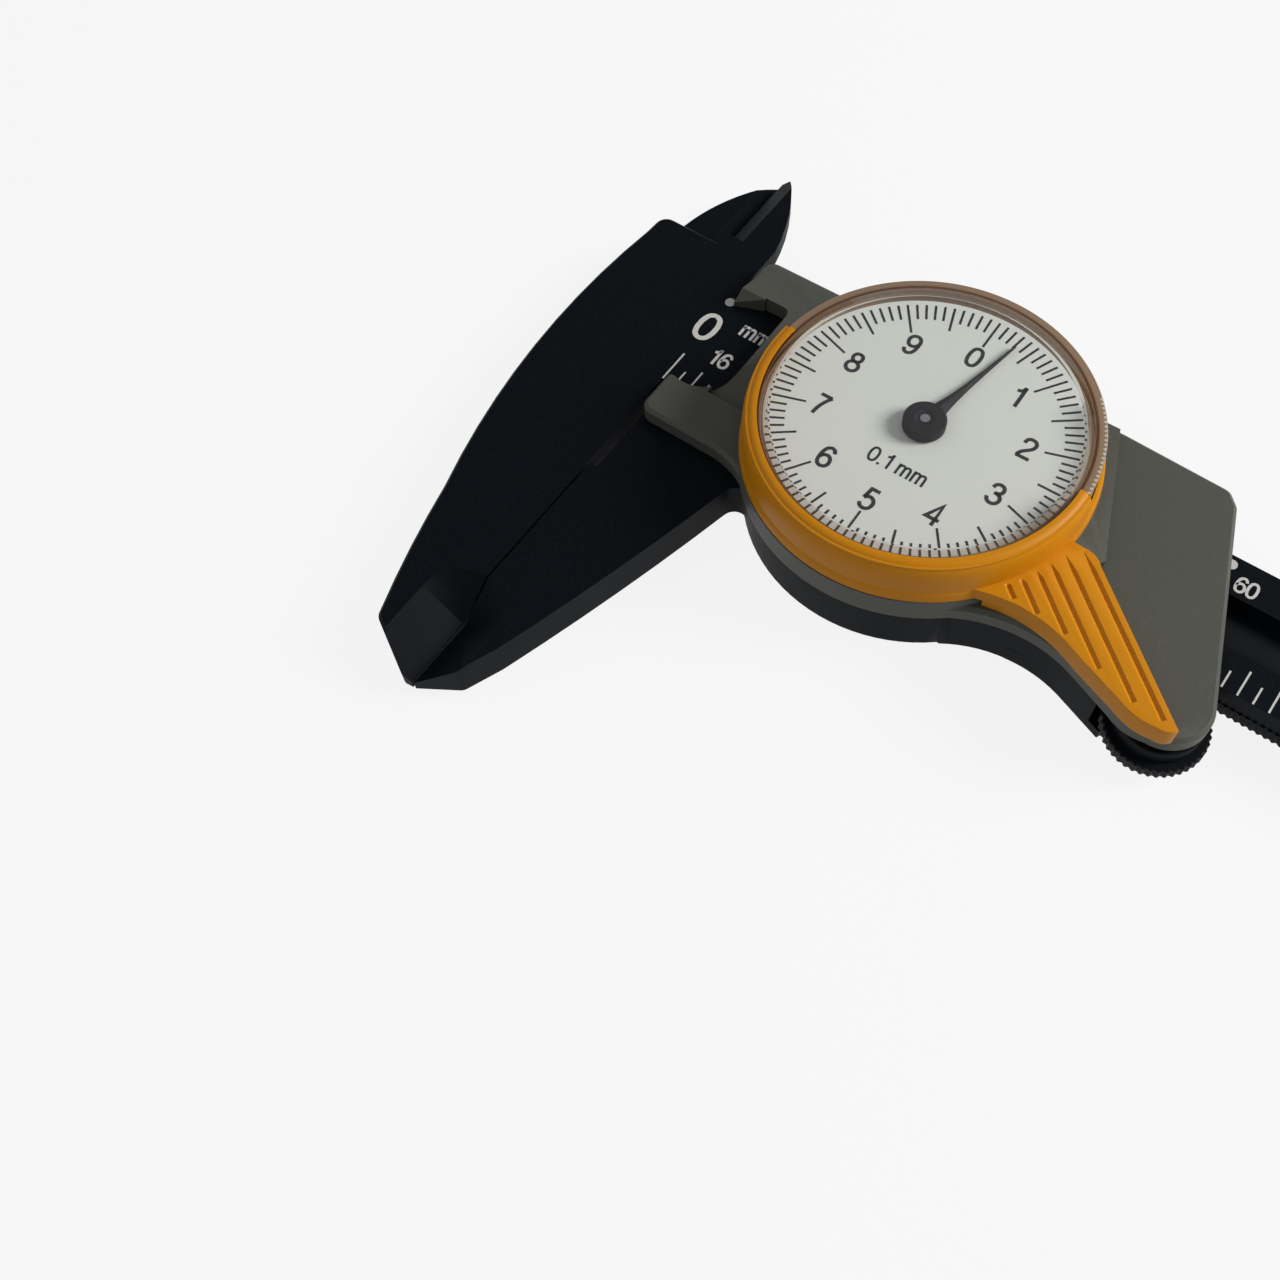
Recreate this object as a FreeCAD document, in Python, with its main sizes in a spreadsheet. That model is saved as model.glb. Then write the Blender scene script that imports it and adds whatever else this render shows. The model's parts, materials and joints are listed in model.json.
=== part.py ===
import FreeCAD, Part
import Sketcher
import math
import os

# Dial caliper with plastic beam, jaws and housing, lying on its back.
# X runs along the beam from the fixed jaw, Y towards the inside jaws, Z up through the dial.
# X = 0 is the fixed measuring face, Y = 0 the beam's centre line, Z = 0 the beam's back.
# Pieces of the slide are drawn with the jaws closed and are placed rest_opening further along X.

os.makedirs("parts", exist_ok=True)
doc = FreeCAD.newDocument("DialCaliper")
V = FreeCAD.Vector

DRIVING = [
    ("travel", 150, "measuring range"),
    ("rest_opening", 0.3, "jaw opening in the stored pose"),
    ("beam_width", 14, "beam across the flats"),
    ("beam_thick", 4.5, "beam and jaws, back to front"),
    ("slide_length", 64.5, "from the movable face to the end of the cover"),
    ("end_margin", 5.5, "beam left past the slide at full travel"),
    ("jaw_drop", 43, "beam edge to the jaw tip"),
    ("head_left", 14.2, "fixed face to the left of the head"),
    ("head_rise", 5.6, "beam edge to the top of the head"),
    ("jaw_bow", 96, "radius of the fixed jaw's left edge"),
    ("horn_rise", 19.4, "beam edge to the tip of the inside jaws"),
    ("horn_plane", 6, "fixed face to the inside measuring edges, to the left"),
    ("horn_split", 2.3, "height where the front horn starts"),
    ("recess_half", 4.6, "half width of the hollow at the jaw tips"),
    ("recess_floor", 1.2, "height of the knife edge at the jaw tips"),
    ("recess_reach", 34.8, "beam edge to the centre of the hollow's round end"),
    ("channel_half", 2.7, "half width of the channel in the beam"),
    ("channel_depth", 2, "depth of the channel"),
    ("channel_start", 12, "fixed face to the start of the channel"),
    ("rack_back", 1.2, "depth of the undercut that holds the rack"),
    ("rack_height", 1.2, "height of the measuring rack"),
    ("turn_travel", 10, "jaw travel for one turn of the pointer"),
    ("pinion_teeth", 10, "teeth of the pinion"),
    ("rod_width", 3, "depth rod across"),
    ("rod_thick", 1.2, "depth rod thickness"),
    ("side_gap", 0.08, "running gap between beam and slide"),
    ("fit_gap", 0.05, "gap of shafts in their bushes and of seated pieces"),
    ("wall", 5.1, "slide walls beside the beam"),
    ("back_wall", 1.5, "slide wall behind the beam"),
    ("cover_thick", 1.95, "top cover"),
    ("dial_x", 28, "movable face to the dial's centre"),
    ("drum_radius", 18.5, "round middle of the slide"),
    ("guard_radius", 18.4, "orange guard, outside"),
    ("crystal_radius", 17.65, "crystal, outside"),
    ("face_radius", 16.2, "dial face"),
    ("face_rise", 6, "beam front to the dial face"),
    ("crystal_rise", 8.4, "beam front to the top of the crystal"),
    ("guard_rise", 7.8, "beam front to the top of the guard's lip"),
    ("platform_rise", 3, "beam front to the dial's platform"),
    ("wheel_x", 61.6, "movable face to the thumb wheel's centre"),
    ("wheel_teeth", 42, "teeth of the thumb wheel"),
    ("wheel_pitch", 0.75, "tooth pitch of the thumb wheel"),
    ("staff_radius", 0.5, "pointer staff"),
    ("bush_radius", 1.4, "bushes of the staff, outside"),
    ("screw_radius", 0.9, "small screws"),
    ("head_radius", 1.8, "screw heads"),
]

sheet = doc.addObject("Spreadsheet::Sheet", "Sizes")
for row, (alias, number, meaning) in enumerate(DRIVING, 1):
    sheet.set(f"A{row}", str(number))
    sheet.setAlias(f"A{row}", alias)
    sheet.set(f"B{row}", meaning)
doc.recompute()
numbers = {alias: float(sheet.get(alias)) for alias, _, _ in DRIVING}


class Size:
    """A length that knows its number and the sheet expression that gives it."""

    def __init__(self, number, text):
        self.number = float(number)
        self.text = text

    def join(self, other, sign, number, swap=False):
        other = as_size(other)
        pair = (other.text, self.text) if swap else (self.text, other.text)
        return Size(number(self.number, other.number), f"({pair[0]} {sign} {pair[1]})")

    def __add__(self, other):
        return self.join(other, "+", lambda a, b: a + b)

    def __radd__(self, other):
        return self.join(other, "+", lambda a, b: a + b)

    def __sub__(self, other):
        return self.join(other, "-", lambda a, b: a - b)

    def __rsub__(self, other):
        return self.join(other, "-", lambda a, b: b - a, swap=True)

    def __mul__(self, other):
        return self.join(other, "*", lambda a, b: a * b)

    def __rmul__(self, other):
        return self.join(other, "*", lambda a, b: a * b)

    def __truediv__(self, other):
        return self.join(other, "/", lambda a, b: a / b)

    def __neg__(self):
        return Size(-self.number, f"(0 - {self.text})")


def as_size(value):
    return value if isinstance(value, Size) else Size(value, repr(round(float(value), 6)))


def size(alias):
    return Size(numbers[alias], f"Sizes.{alias}")


# Sizes that follow from the driving ones
opening = size("rest_opening")
beam_half = size("beam_width") / 2
beam_top = size("beam_thick")
beam_end = size("travel") + size("slide_length") + size("end_margin")
channel_floor = beam_top - size("channel_depth")
jaw_tip = -(beam_half + size("jaw_drop"))
head_top = beam_half + size("head_rise")
horn_tip = beam_half + size("horn_rise")
horn_split = size("horn_split")
recess_y = -(beam_half + size("recess_reach"))
tooth_pitch = size("turn_travel") / size("pinion_teeth")
pinion_radius = size("turn_travel") / (2 * math.pi)
dial_y = pinion_radius - size("channel_half")
dial_rest_x = size("dial_x") + opening
rack_top = channel_floor + size("rack_height")
inner_half = beam_half + size("side_gap")
outer_half = inner_half + size("wall")
cover_bottom = beam_top + size("fit_gap")
cover_top = cover_bottom + size("cover_thick")
platform = beam_top + size("platform_rise")
face_top = beam_top + size("face_rise")
crystal_top = beam_top + size("crystal_rise")
guard_top = beam_top + size("guard_rise")
body_bottom = -(size("side_gap") + size("back_wall"))
wheel_radius = size("wheel_teeth") * size("wheel_pitch") / (2 * math.pi)
thumb_rack_line = beam_half + 0.2
wheel_y = -(thumb_rack_line + wheel_radius)
wheel_rest_x = size("wheel_x") + opening
web_bottom = platform + 1.1
web_top = platform + 2.1
well_radius = size("face_radius") - 3.8
bridge_bottom = cover_bottom + 0.4
bridge_top = bridge_bottom + 1.0

parts = []


def plane(body, role):
    return next(f for f in body.Origin.OriginFeatures if f.Role == role)


def new_body(label, x=0, y=0, z=0):
    """A body whose place is bound to the sheet."""
    body = doc.addObject("PartDesign::Body", label)
    body.Label = label
    for axis, value in zip("xyz", (x, y, z)):
        value = as_size(value)
        if value.text not in ("0.0", "0"):
            body.setExpression(f"Placement.Base.{axis}", value.text)
    parts.append(body)
    return body


def new_sketch(body, name, role, offset=0, turn=0):
    sketch = body.newObject("Sketcher::SketchObject", name)
    sketch.AttachmentSupport = [(plane(body, role), "")]
    sketch.MapMode = "FlatFace"
    offset = as_size(offset)
    spin = FreeCAD.Rotation(V(0, 1, 0), turn)
    sketch.AttachmentOffset = FreeCAD.Placement(V(0, 0, offset.number), spin)
    sketch.setExpression("AttachmentOffset.Base.z", offset.text)
    return sketch


def bind(sketch, kind, place, value):
    """Add a constraint whose datum follows the sheet."""
    value = as_size(value)
    index = sketch.addConstraint(Sketcher.Constraint(kind, *place, value.number))
    if "Sizes." in value.text:
        sketch.setExpression(f"Constraints[{index}]", value.text)


def arc_centre(start, end, radius):
    """Centre of the arc that leaves start with its centre on the left (radius > 0) or right."""
    chord = end - start
    middle = (start + end) * 0.5
    reach = math.sqrt(max(radius**2 - (chord.Length / 2) ** 2, 0.0))
    left = V(-chord.y, chord.x, 0).normalize()
    return middle + left * (reach if radius > 0 else -reach)


def outline(sketch, corners):
    """Closed outline. A corner is (x, y), or (x, y, radius) where an arc leads to the next one."""
    points = [V(as_size(c[0]).number, as_size(c[1]).number, 0) for c in corners]
    ends = []
    for i, corner in enumerate(corners):
        start = points[i]
        end = points[(i + 1) % len(points)]
        if len(corner) == 2:
            index = sketch.addGeometry(Part.LineSegment(start, end))
            ends.append((index, 1, 2))
            continue
        radius = as_size(corner[2])
        centre = arc_centre(start, end, radius.number)
        angles = [math.atan2(p.y - centre.y, p.x - centre.x) for p in (start, end)]
        circle = Part.Circle(centre, V(0, 0, 1), abs(radius.number))
        if radius.number > 0:
            index = sketch.addGeometry(Part.ArcOfCircle(circle, angles[0], angles[1]))
            ends.append((index, 1, 2))
        else:
            index = sketch.addGeometry(Part.ArcOfCircle(circle, angles[1], angles[0]))
            ends.append((index, 2, 1))
    for i, (index, first, last) in enumerate(ends):
        after, after_first, _ = ends[(i + 1) % len(ends)]
        sketch.addConstraint(
            Sketcher.Constraint("Coincident", index, last, after, after_first)
        )
    for corner, (index, first, last) in zip(corners, ends):
        bind(sketch, "DistanceX", (index, first), corner[0])
        bind(sketch, "DistanceY", (index, first), corner[1])
        if len(corner) > 2:
            radius = as_size(corner[2])
            bind(sketch, "Radius", (index,), radius if radius.number > 0 else -radius)


def box(sketch, left, low, right, high):
    outline(sketch, [(left, low), (right, low), (right, high), (left, high)])


def circle(sketch, x, y, radius):
    index = sketch.addGeometry(
        Part.Circle(V(as_size(x).number, as_size(y).number, 0), V(0, 0, 1), as_size(radius).number)
    )
    bind(sketch, "Radius", (index,), radius)
    bind(sketch, "DistanceX", (index, 3), x)
    bind(sketch, "DistanceY", (index, 3), y)


def volume(body):
    doc.recompute()
    return body.Shape.Volume if body.Shape.isValid() else 0.0


def feature(body, kind, sketch, length, back=False):
    """Pad or Pocket whose effect on the volume is checked."""
    before = volume(body) if body.Tip else 0.0
    made = body.newObject(f"PartDesign::{kind}", f"{sketch.Name}_{kind}")
    made.Profile = sketch
    length = as_size(length)
    made.Length = length.number
    if "Sizes." in length.text:
        made.setExpression("Length", length.text)
    made.Reversed = back
    after = volume(body)
    grew = after - before
    if (kind == "Pad" and grew <= 0) or (kind == "Pocket" and grew >= 0):
        raise RuntimeError(f"{body.Label}: {sketch.Name} changed the volume by {grew:.3f}")
    return made


def pad(body, name, draw, low, high, role="XY_Plane"):
    """Pad the outline that draw(sketch) makes, from low to high along the plane's normal."""
    low, high = as_size(low), as_size(high)
    sketch = new_sketch(body, name, role, low)
    draw(sketch)
    return feature(body, "Pad", sketch, high - low)


def cut(body, name, draw, low, high, role="XY_Plane"):
    low, high = as_size(low), as_size(high)
    sketch = new_sketch(body, name, role, high)
    draw(sketch)
    return feature(body, "Pocket", sketch, high - low)


def turned(body, name, corners, angle=360, turn=0, groove=False):
    """Revolve (radius, height) corners about the body's own Z axis."""
    before = volume(body) if body.Tip else 0.0
    sketch = new_sketch(body, name, "XZ_Plane", 0, turn)
    outline(sketch, corners)
    kind = "Groove" if groove else "Revolution"
    made = body.newObject(f"PartDesign::{kind}", f"{name}_{kind}")
    made.Profile = sketch
    made.ReferenceAxis = (sketch, ["V_Axis"])
    made.Angle = angle
    grew = volume(body) - before
    if (grew >= 0) if groove else (grew <= 0):
        raise RuntimeError(f"{body.Label}: {name} changed the volume by {grew:.3f}")
    return made


def ring(inner, outer, low, high):
    return [(inner, low), (outer, low), (outer, high), (inner, high)]


def dress(body, kind, amount, wanted):
    """Fillet or Chamfer the edges of the body's tip that wanted(edge) picks."""
    doc.recompute()
    base = body.Tip
    names = [f"Edge{i}" for i, edge in enumerate(base.Shape.Edges, 1) if wanted(edge)]
    if not names:
        raise RuntimeError(f"{body.Label}: no edge for the {kind}")
    made = body.newObject(f"PartDesign::{kind}", f"{body.Name}_{kind}")
    made.Base = (base, names)
    amount = as_size(amount)
    prop = "Radius" if kind == "Fillet" else "Size"
    setattr(made, prop, amount.number)
    if "Sizes." in amount.text:
        made.setExpression(prop, amount.text)
    doc.recompute()
    if "Invalid" in made.State or not made.Shape.isValid():
        raise RuntimeError(f"{body.Label}: the {kind} failed")
    return made


def upright_at(places, reach=0.4):
    """Picks vertical edges that stand at one of the (x, y) places."""
    spots = [(as_size(x).number, as_size(y).number) for x, y in places]

    def wanted(edge):
        a, b = edge.Vertexes[0].Point, edge.Vertexes[-1].Point
        if math.hypot(a.x - b.x, a.y - b.y) > 1e-4 or abs(a.z - b.z) < 1e-3:
            return False
        return any(math.hypot(a.x - x, a.y - y) < reach for x, y in spots)

    return wanted


def level_edges(height, inside):
    """Picks edges that lie at a height, with their middle inside a test on x and y."""
    height = as_size(height).number

    def wanted(edge):
        box = edge.BoundBox
        if abs(box.ZMin - height) > 1e-4 or abs(box.ZMax - height) > 1e-4:
            return False
        middle = edge.valueAt((edge.FirstParameter + edge.LastParameter) / 2)
        return inside(middle.x, middle.y)

    return wanted


def beside(corners, reach=0.02):
    """Test for points that lie on the closed outline through the corners."""
    points = [V(as_size(c[0]).number, as_size(c[1]).number, 0) for c in corners]
    sides = []
    for corner, start, end in zip(corners, points, points[1:] + points[:1]):
        if len(corner) == 2:
            sides.append(Part.LineSegment(start, end).toShape())
            continue
        radius = as_size(corner[2]).number
        centre = arc_centre(start, end, radius)
        middle = centre + ((start + end) * 0.5 - centre).normalize() * abs(radius)
        sides.append(Part.Arc(start, middle, end).toShape())

    def inside(x, y):
        spot = Part.Vertex(x, y, 0)
        return any(spot.distToShape(side)[0] < reach for side in sides)

    return inside


def solid_part(label, shape, x=0, y=0, z=0):
    """A sub-part whose shape comes from a formula that reads the sheet."""
    made = doc.addObject("Part::Feature", label)
    made.Label = label
    made.Shape = shape
    place = V(*(as_size(a).number for a in (x, y, z)))
    made.Placement = FreeCAD.Placement(place, shape.Placement.Rotation)
    parts.append(made)
    return made


def extruded(points, low, high):
    low, high = as_size(low).number, as_size(high).number
    corners = [V(x, y, low) for x, y in points]
    face = Part.Face(Part.makePolygon(corners + corners[:1]))
    return face.extrude(V(0, 0, high - low))


# Teeth. Flanks are involutes drawn with short flats; the rack's flanks are straight.
STEEP = math.radians(30)
NORMAL = math.radians(20)


def gear_points(teeth, pitch, pressure, addendum, dedendum, play, tooth_at):
    teeth = int(round(teeth))
    radius = teeth * pitch / (2 * math.pi)
    base = radius * math.cos(pressure)
    half = (pitch / 2 - play) / 2 / radius
    roll = math.tan(pressure) - pressure
    tip = radius + addendum
    root = radius - dedendum

    def half_angle(r):
        if r <= base:
            return half + roll
        slant = math.acos(base / r)
        return half + roll - (math.tan(slant) - slant)

    steps = 4
    start = max(base, root)
    heights = [root] if start > root else []
    heights += [start + (tip - start) * i / steps for i in range(steps + 1)]
    points = []
    for tooth in range(teeth):
        middle = tooth_at + 2 * math.pi * tooth / teeth
        flank = [(r, half_angle(r)) for r in heights]
        for r, a in flank:
            points.append((r * math.cos(middle - a), r * math.sin(middle - a)))
        for r, a in reversed(flank):
            points.append((r * math.cos(middle + a), r * math.sin(middle + a)))
    return points


def rack_points(first, last, pitch, pressure, addendum, dedendum, play, back):
    """Teeth that point to +Y with their pitch line at y = 0 and a tooth at x = 0."""
    lean = math.tan(pressure)
    half = (pitch / 2 - play) / 2
    points = [((first - 0.5) * pitch, -back)]
    for tooth in range(first, last + 1):
        middle = tooth * pitch
        points.append((middle - half - dedendum * lean, -dedendum))
        points.append((middle - half + addendum * lean, addendum))
        points.append((middle + half - addendum * lean, addendum))
        points.append((middle + half + dedendum * lean, -dedendum))
    points.append(((last + 0.5) * pitch, -back))
    points.insert(1, ((first - 0.5) * pitch, -dedendum))
    points.insert(-1, ((last + 0.5) * pitch, -dedendum))
    return points


ADDENDUM, DEDENDUM, PLAY = 0.30, 0.37, 0.06
OVER = 0.5  # how far a cut runs past the surface that it opens


def beam_with_fixed_jaw():
    body = new_body("beam_with_fixed_jaw")
    left = -size("head_left")
    tip_y = jaw_tip
    jaw = [
        (0, tip_y + 0.12),
        (0, head_top),
        (left + 0.15, head_top),
        (left, head_top - 3, size("jaw_bow")),
        (left + 3.4, tip_y + 18.9, size("jaw_bow") * 1.3),
        (left + 8.0, tip_y + 2.95),
        (-1, tip_y),
    ]
    pad(body, "HeadAndJaw", lambda s: outline(s, jaw), 0, beam_top)
    pad(body, "Bar", lambda s: box(s, -1, -beam_half, beam_end, beam_half), 0, beam_top)
    horn = [
        (-size("horn_plane"), head_top - 1),
        (0, head_top - 1),
        (0, head_top + 2.2, size("horn_rise") * 1.3),
        (-size("horn_plane") + 0.8, horn_tip - 0.55),
        (-size("horn_plane"), horn_tip - 1.0),
    ]
    pad(body, "FrontHorn", lambda s: outline(s, horn), horn_split, beam_top)
    # The rear half of the head is open so that the slide's horn can pass behind it
    cut(body, "HornPassage", lambda s: box(s, left - 1, beam_half, 1, head_top + OVER),
        -OVER, horn_split)
    back = size("channel_half") + size("rack_back")
    channel = [
        (size("channel_half"), beam_top + OVER),
        (-size("channel_half"), beam_top + OVER),
        (-size("channel_half"), rack_top + size("fit_gap")),
        (-back, rack_top + size("fit_gap")),
        (-back, channel_floor),
        (size("channel_half"), channel_floor),
    ]
    cut(body, "Channel", lambda s: outline(s, channel), size("channel_start"), beam_end + OVER, "YZ_Plane")
    rod_half = size("rod_width") / 2 + 0.15
    cut(body, "RodGroove", lambda s: box(s, -rod_half, -OVER, rod_half, size("rod_thick") + 0.35),
        size("dial_x") + 14, beam_end + OVER, "YZ_Plane")
    cut(body, "ThumbRackRebate", lambda s: box(s, -beam_half - OVER, -OVER, -beam_half + 0.7, 2.15),
        size("wheel_x") - 8, beam_end - 1, "YZ_Plane")
    cut(body, "StopScrewHole", lambda s: circle(s, beam_end - 2.5, 0, 0.82), 1.7, channel_floor + OVER)
    hollow_jaw_tip(body, 0)
    slope = [
        (-size("horn_plane") - OVER, horn_split + 0.2),
        (-size("horn_plane") + 2.7, beam_top + OVER),
        (-size("horn_plane") - OVER, beam_top + OVER),
    ]
    sketch = new_sketch(body, "HornBevel", "XZ_Plane", -(head_top + 1.6))
    outline(sketch, slope)
    feature(body, "Pocket", sketch, size("horn_rise"))
    dress(body, "Fillet", 1.4, upright_at([(left + 0.15, head_top), (left + 8.0, tip_y + 2.95)]))
    dress(body, "Fillet", 0.7, upright_at([(-1, tip_y)]))
    edge = (size("beam_width") + size("jaw_drop")).number
    dress(body, "Chamfer", 0.35, level_edges(
        beam_top, lambda x, y: x < -0.2 and -edge < y < head_top.number + 0.2
        and abs(x + 3) > 2.8 or (x < -6 and y > 6)))
    return body


def hollow_jaw_tip(body, x):
    """The V-shaped hollow with its round end that thins the measuring faces at the tip."""
    rise = beam_top - size("recess_floor")
    half = size("recess_half") * (rise + OVER) / rise
    groove = [
        (x - half, beam_top + OVER),
        (x, size("recess_floor")),
        (x + half, beam_top + OVER),
    ]
    sketch = new_sketch(body, "TipHollow", "XZ_Plane", -jaw_tip + OVER)
    outline(sketch, groove)
    feature(body, "Pocket", sketch, recess_y - jaw_tip + OVER)
    cone = [
        (0, size("recess_floor")),
        (half, beam_top + OVER),
        (0, beam_top + OVER),
    ]
    sketch = new_sketch(body, "TipHollowEnd", "XZ_Plane", -recess_y)
    outline(sketch, cone)
    made = body.newObject("PartDesign::Groove", "TipHollowEnd_Groove")
    made.Profile = sketch
    made.ReferenceAxis = (sketch, ["V_Axis"])
    made.Angle = 360
    doc.recompute()


def slide_with_movable_jaw():
    body = new_body("slide_with_movable_jaw", opening)
    tip_y = jaw_tip
    low_edge = -outer_half - 1
    drum = size("drum_radius") - 0.6
    wheel_x = size("wheel_x")
    pad(body, "Housing", lambda s: outline(s, [
        (0.8, low_edge),
        (0.8, outer_half),
        (wheel_x - 6.2, outer_half),
        (wheel_x + 0.8, wheel_y + 6.5),
        (wheel_x - 4.0, wheel_y - 2.85),
        (wheel_x - 9.3, wheel_y - 0.9, 14),
        (wheel_x - 13.7, wheel_y - 0.15, 14.5),
        (wheel_x - 21.8, wheel_y - 2.6),
        (size("dial_x"), low_edge),
    ]), body_bottom, beam_top)
    pad(body, "Drum", lambda s: circle(s, size("dial_x"), dial_y, drum), body_bottom, beam_top)
    jaw = [
        (0, tip_y + 0.15),
        (4.15, tip_y + 2.75),
        (5.9, tip_y + 6.9, 330),
        (13.66, low_edge - 2.0, -1.48),
        (16.15, low_edge - 1.32),
        (22, low_edge + 3),
        (0.8, low_edge + 3),
        (0.8, -(beam_half + 13.2)),
        (0, -(beam_half + 13.2)),
    ]
    pad(body, "Jaw", lambda s: outline(s, jaw), 0, beam_top)
    horn = [
        (-size("horn_plane"), beam_half + 1),
        (-size("horn_plane"), horn_tip),
        (-size("horn_plane") - 0.2, horn_tip + 0.1, 22),
        (-size("horn_plane") - 6.6, beam_half + 7.2),
        (-size("horn_plane") - 6.6, beam_half + 1.8),
        (-size("horn_plane") - 5.4, beam_half + 0.4),
        (1.5, beam_half + 0.4),
        (1.5, head_top - 1),
        (-size("horn_plane"), head_top - 1),
    ]
    horn = horn[1:]
    pad(body, "RearHorn", lambda s: outline(s, horn), 0, horn_split - 0.1)
    trough = [
        (-inner_half, -size("side_gap")),
        (inner_half, -size("side_gap")),
        (inner_half, beam_top + OVER),
        (-inner_half, beam_top + OVER),
        (-inner_half, 2.3),
        (-(thumb_rack_line + 0.55), 2.3),
        (-(thumb_rack_line + 0.55), -size("side_gap")),
    ]
    cut(body, "Trough", lambda s: outline(s, trough), 0.5, wheel_x + 6, "YZ_Plane")
    cut(body, "WheelBay", lambda s: circle(s, wheel_x, wheel_y, wheel_radius + 0.9), -0.3, beam_top + OVER)
    pad(body, "WheelLedge", lambda s: circle(s, wheel_x, wheel_y, 3.6), body_bottom, -0.3)
    cut(body, "SpringBay", lambda s: box(s, 14, inner_half - OVER, 46, inner_half + 0.9), 1.0, 3.6)
    hollow_jaw_tip(body, 0)
    slope = [
        (-size("horn_plane") + OVER, 0.9),
        (-size("horn_plane") + OVER, horn_split + OVER),
        (-size("horn_plane") - 4.2, horn_split + OVER),
    ]
    sketch = new_sketch(body, "HornBevel", "XZ_Plane", -(head_top + 0.3))
    outline(sketch, slope)
    feature(body, "Pocket", sketch, size("horn_rise"))
    for number, (x, y) in enumerate(cover_screw_places(), 1):
        cut(body, f"ScrewHole{number}", lambda s: circle(s, x, y, size("screw_radius") + 0.1),
            body_bottom - OVER, beam_top + OVER)
        cut(body, f"ScrewSeat{number}", lambda s: circle(s, x, y, size("head_radius") + 0.15),
            body_bottom - OVER, body_bottom + 1.3)
    cut(body, "AxleHole", lambda s: circle(s, wheel_x, wheel_y, 1.05), body_bottom - OVER, 0)
    half = size("rod_width") / 2 - 0.2
    pad(body, "RodSeat", lambda s: box(s, size("dial_x") + 18, -half, size("dial_x") + 31, half),
        -0.2, 0.1)
    for number, x in enumerate(rivet_places(), 1):
        cut(body, f"RivetHole{number}", lambda s: circle(s, x, 0, 0.65), body_bottom - OVER, 0.3)
    dress(body, "Fillet", 1.2, upright_at([(wheel_x - 6.2, outer_half)]))
    dress(body, "Fillet", 0.5, upright_at([(0.8, outer_half)]))
    dress(body, "Fillet", 1.2, upright_at([(4.15, tip_y + 2.75)]))
    return body


def cover_screw_places():
    y = outer_half - 2.2
    return [(6.5, y), (50, y), (6.5, -y - 0.6), (48, -y - 0.6)]


def rivet_places():
    return [size("dial_x") + 21, size("dial_x") + 28]


def top_cover():
    body = new_body("top_cover", opening)
    x, y, radius = size("dial_x"), dial_y, size("drum_radius")
    low_edge = -outer_half - 0.3
    wheel_x = size("wheel_x")
    end = size("slide_length")
    plate = [
        (0.75, low_edge),
        (0.75, outer_half),
        (x, outer_half + 0.3),
        (x + 16, outer_half + 0.6),
        (end - 8.6, outer_half + 0.2),
        (end - 7.2, outer_half - 1.2),
        (wheel_x + 4.0, wheel_y + 1.6, -4.15),
        (wheel_x, wheel_y - 4.04, -5.5),
        (wheel_x - 4.0, wheel_y - 3.55),
        (wheel_x - 9.3, wheel_y - 1.5, 13.4),
        (wheel_x - 13.7, wheel_y - 0.75, 15.1),
        (wheel_x - 21.8, wheel_y - 3.1),
        (x, low_edge - 1),
        (x - 11.95, y - 13.75, 9.8),
        (x - 19, low_edge),
    ]
    pad(body, "Plate", lambda s: outline(s, plate), cover_bottom, cover_top)
    pad(body, "Drum", lambda s: circle(s, x, y, radius), cover_bottom, platform)
    step = [
        (x, outer_half - 0.25),
        (x + 15.6, outer_half),
        (x + 21.8, -2.7),
        (x + 17, -9),
        (x, -9),
    ]
    pad(body, "DialStep", lambda s: outline(s, step), cover_top - OVER, platform - 0.1)
    pad(body, "Hub", lambda s: circle(s, x, y, size("face_radius") - 0.38), platform - OVER, web_top)
    window = [
        (-OVER, -7.2),
        (1.6, -7.2, 4.2),
        (6.9, -3.4),
        (6.9, 2.4),
        (6.85, 6.3, 0.85),
        (6.0, 7.15),
        (-OVER, 7.15),
    ]
    cut(body, "Window", lambda s: outline(s, window), cover_bottom - OVER, cover_top + OVER)
    # The index is a beak that slopes down from the bar to the first dot
    pointer = [(0.75, 7.6), (0.35, 5.65), (3.6, 6.9), (3.6, 7.6)]
    pad(body, "Index", lambda s: outline(s, pointer), cover_bottom, cover_top)
    slope = [
        (5.2, cover_bottom + 0.15),
        (6.95, cover_top),
        (6.95, cover_top + OVER),
        (5.2, cover_top + OVER),
    ]
    cut(body, "IndexSlope", lambda s: outline(s, slope), 0, 3.7, "YZ_Plane")
    well = new_sketch(body, "Well", "XY_Plane", cover_bottom)
    circle(well, x, y, well_radius)
    feature(body, "Pocket", well, web_bottom - cover_bottom, back=True)
    cut(body, "BushHole", lambda s: circle(s, x, y, size("bush_radius") + 0.01),
        web_bottom - OVER, web_top + OVER)
    for number, (px, py) in enumerate(bridge_screw_places(), 1):
        post = pad(body, f"BridgePost{number}", lambda s: circle(s, x + px, y + py, 1.7),
                   bridge_top, web_bottom + 0.2)
        cut(body, f"BridgeScrewHole{number}", lambda s: circle(s, x + px, y + py, 0.77),
            bridge_top - OVER, web_bottom + 0.6)
    recess = [
        (-3.8, cover_top),
        (-3.8, cover_top + OVER),
        (-6.95, cover_top + OVER),
        (-6.95, cover_top - 1.1),
    ]
    cut(body, "Facet", lambda s: outline(s, recess), x - 22.3, x - 17.3, "YZ_Plane")
    for number, (sx, sy) in enumerate(cover_screw_places(), 1):
        hole = new_sketch(body, f"ScrewHole{number}", "XY_Plane", cover_bottom)
        circle(hole, sx, sy, size("screw_radius") + 0.02)
        feature(body, "Pocket", hole, 1.3, back=True)
    hole = new_sketch(body, "AxleHole", "XY_Plane", cover_bottom)
    circle(hole, wheel_x, wheel_y, 1.05)
    feature(body, "Pocket", hole, 1.0, back=True)
    dress(body, "Fillet", 1.3, upright_at([
        (0.75, low_edge), (0.75, outer_half), (end - 8.6, outer_half + 0.2),
        (end - 7.2, outer_half - 1.2)]))
    dress(body, "Chamfer", 0.4, level_edges(cover_top, beside(plate)))
    return body


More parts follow.
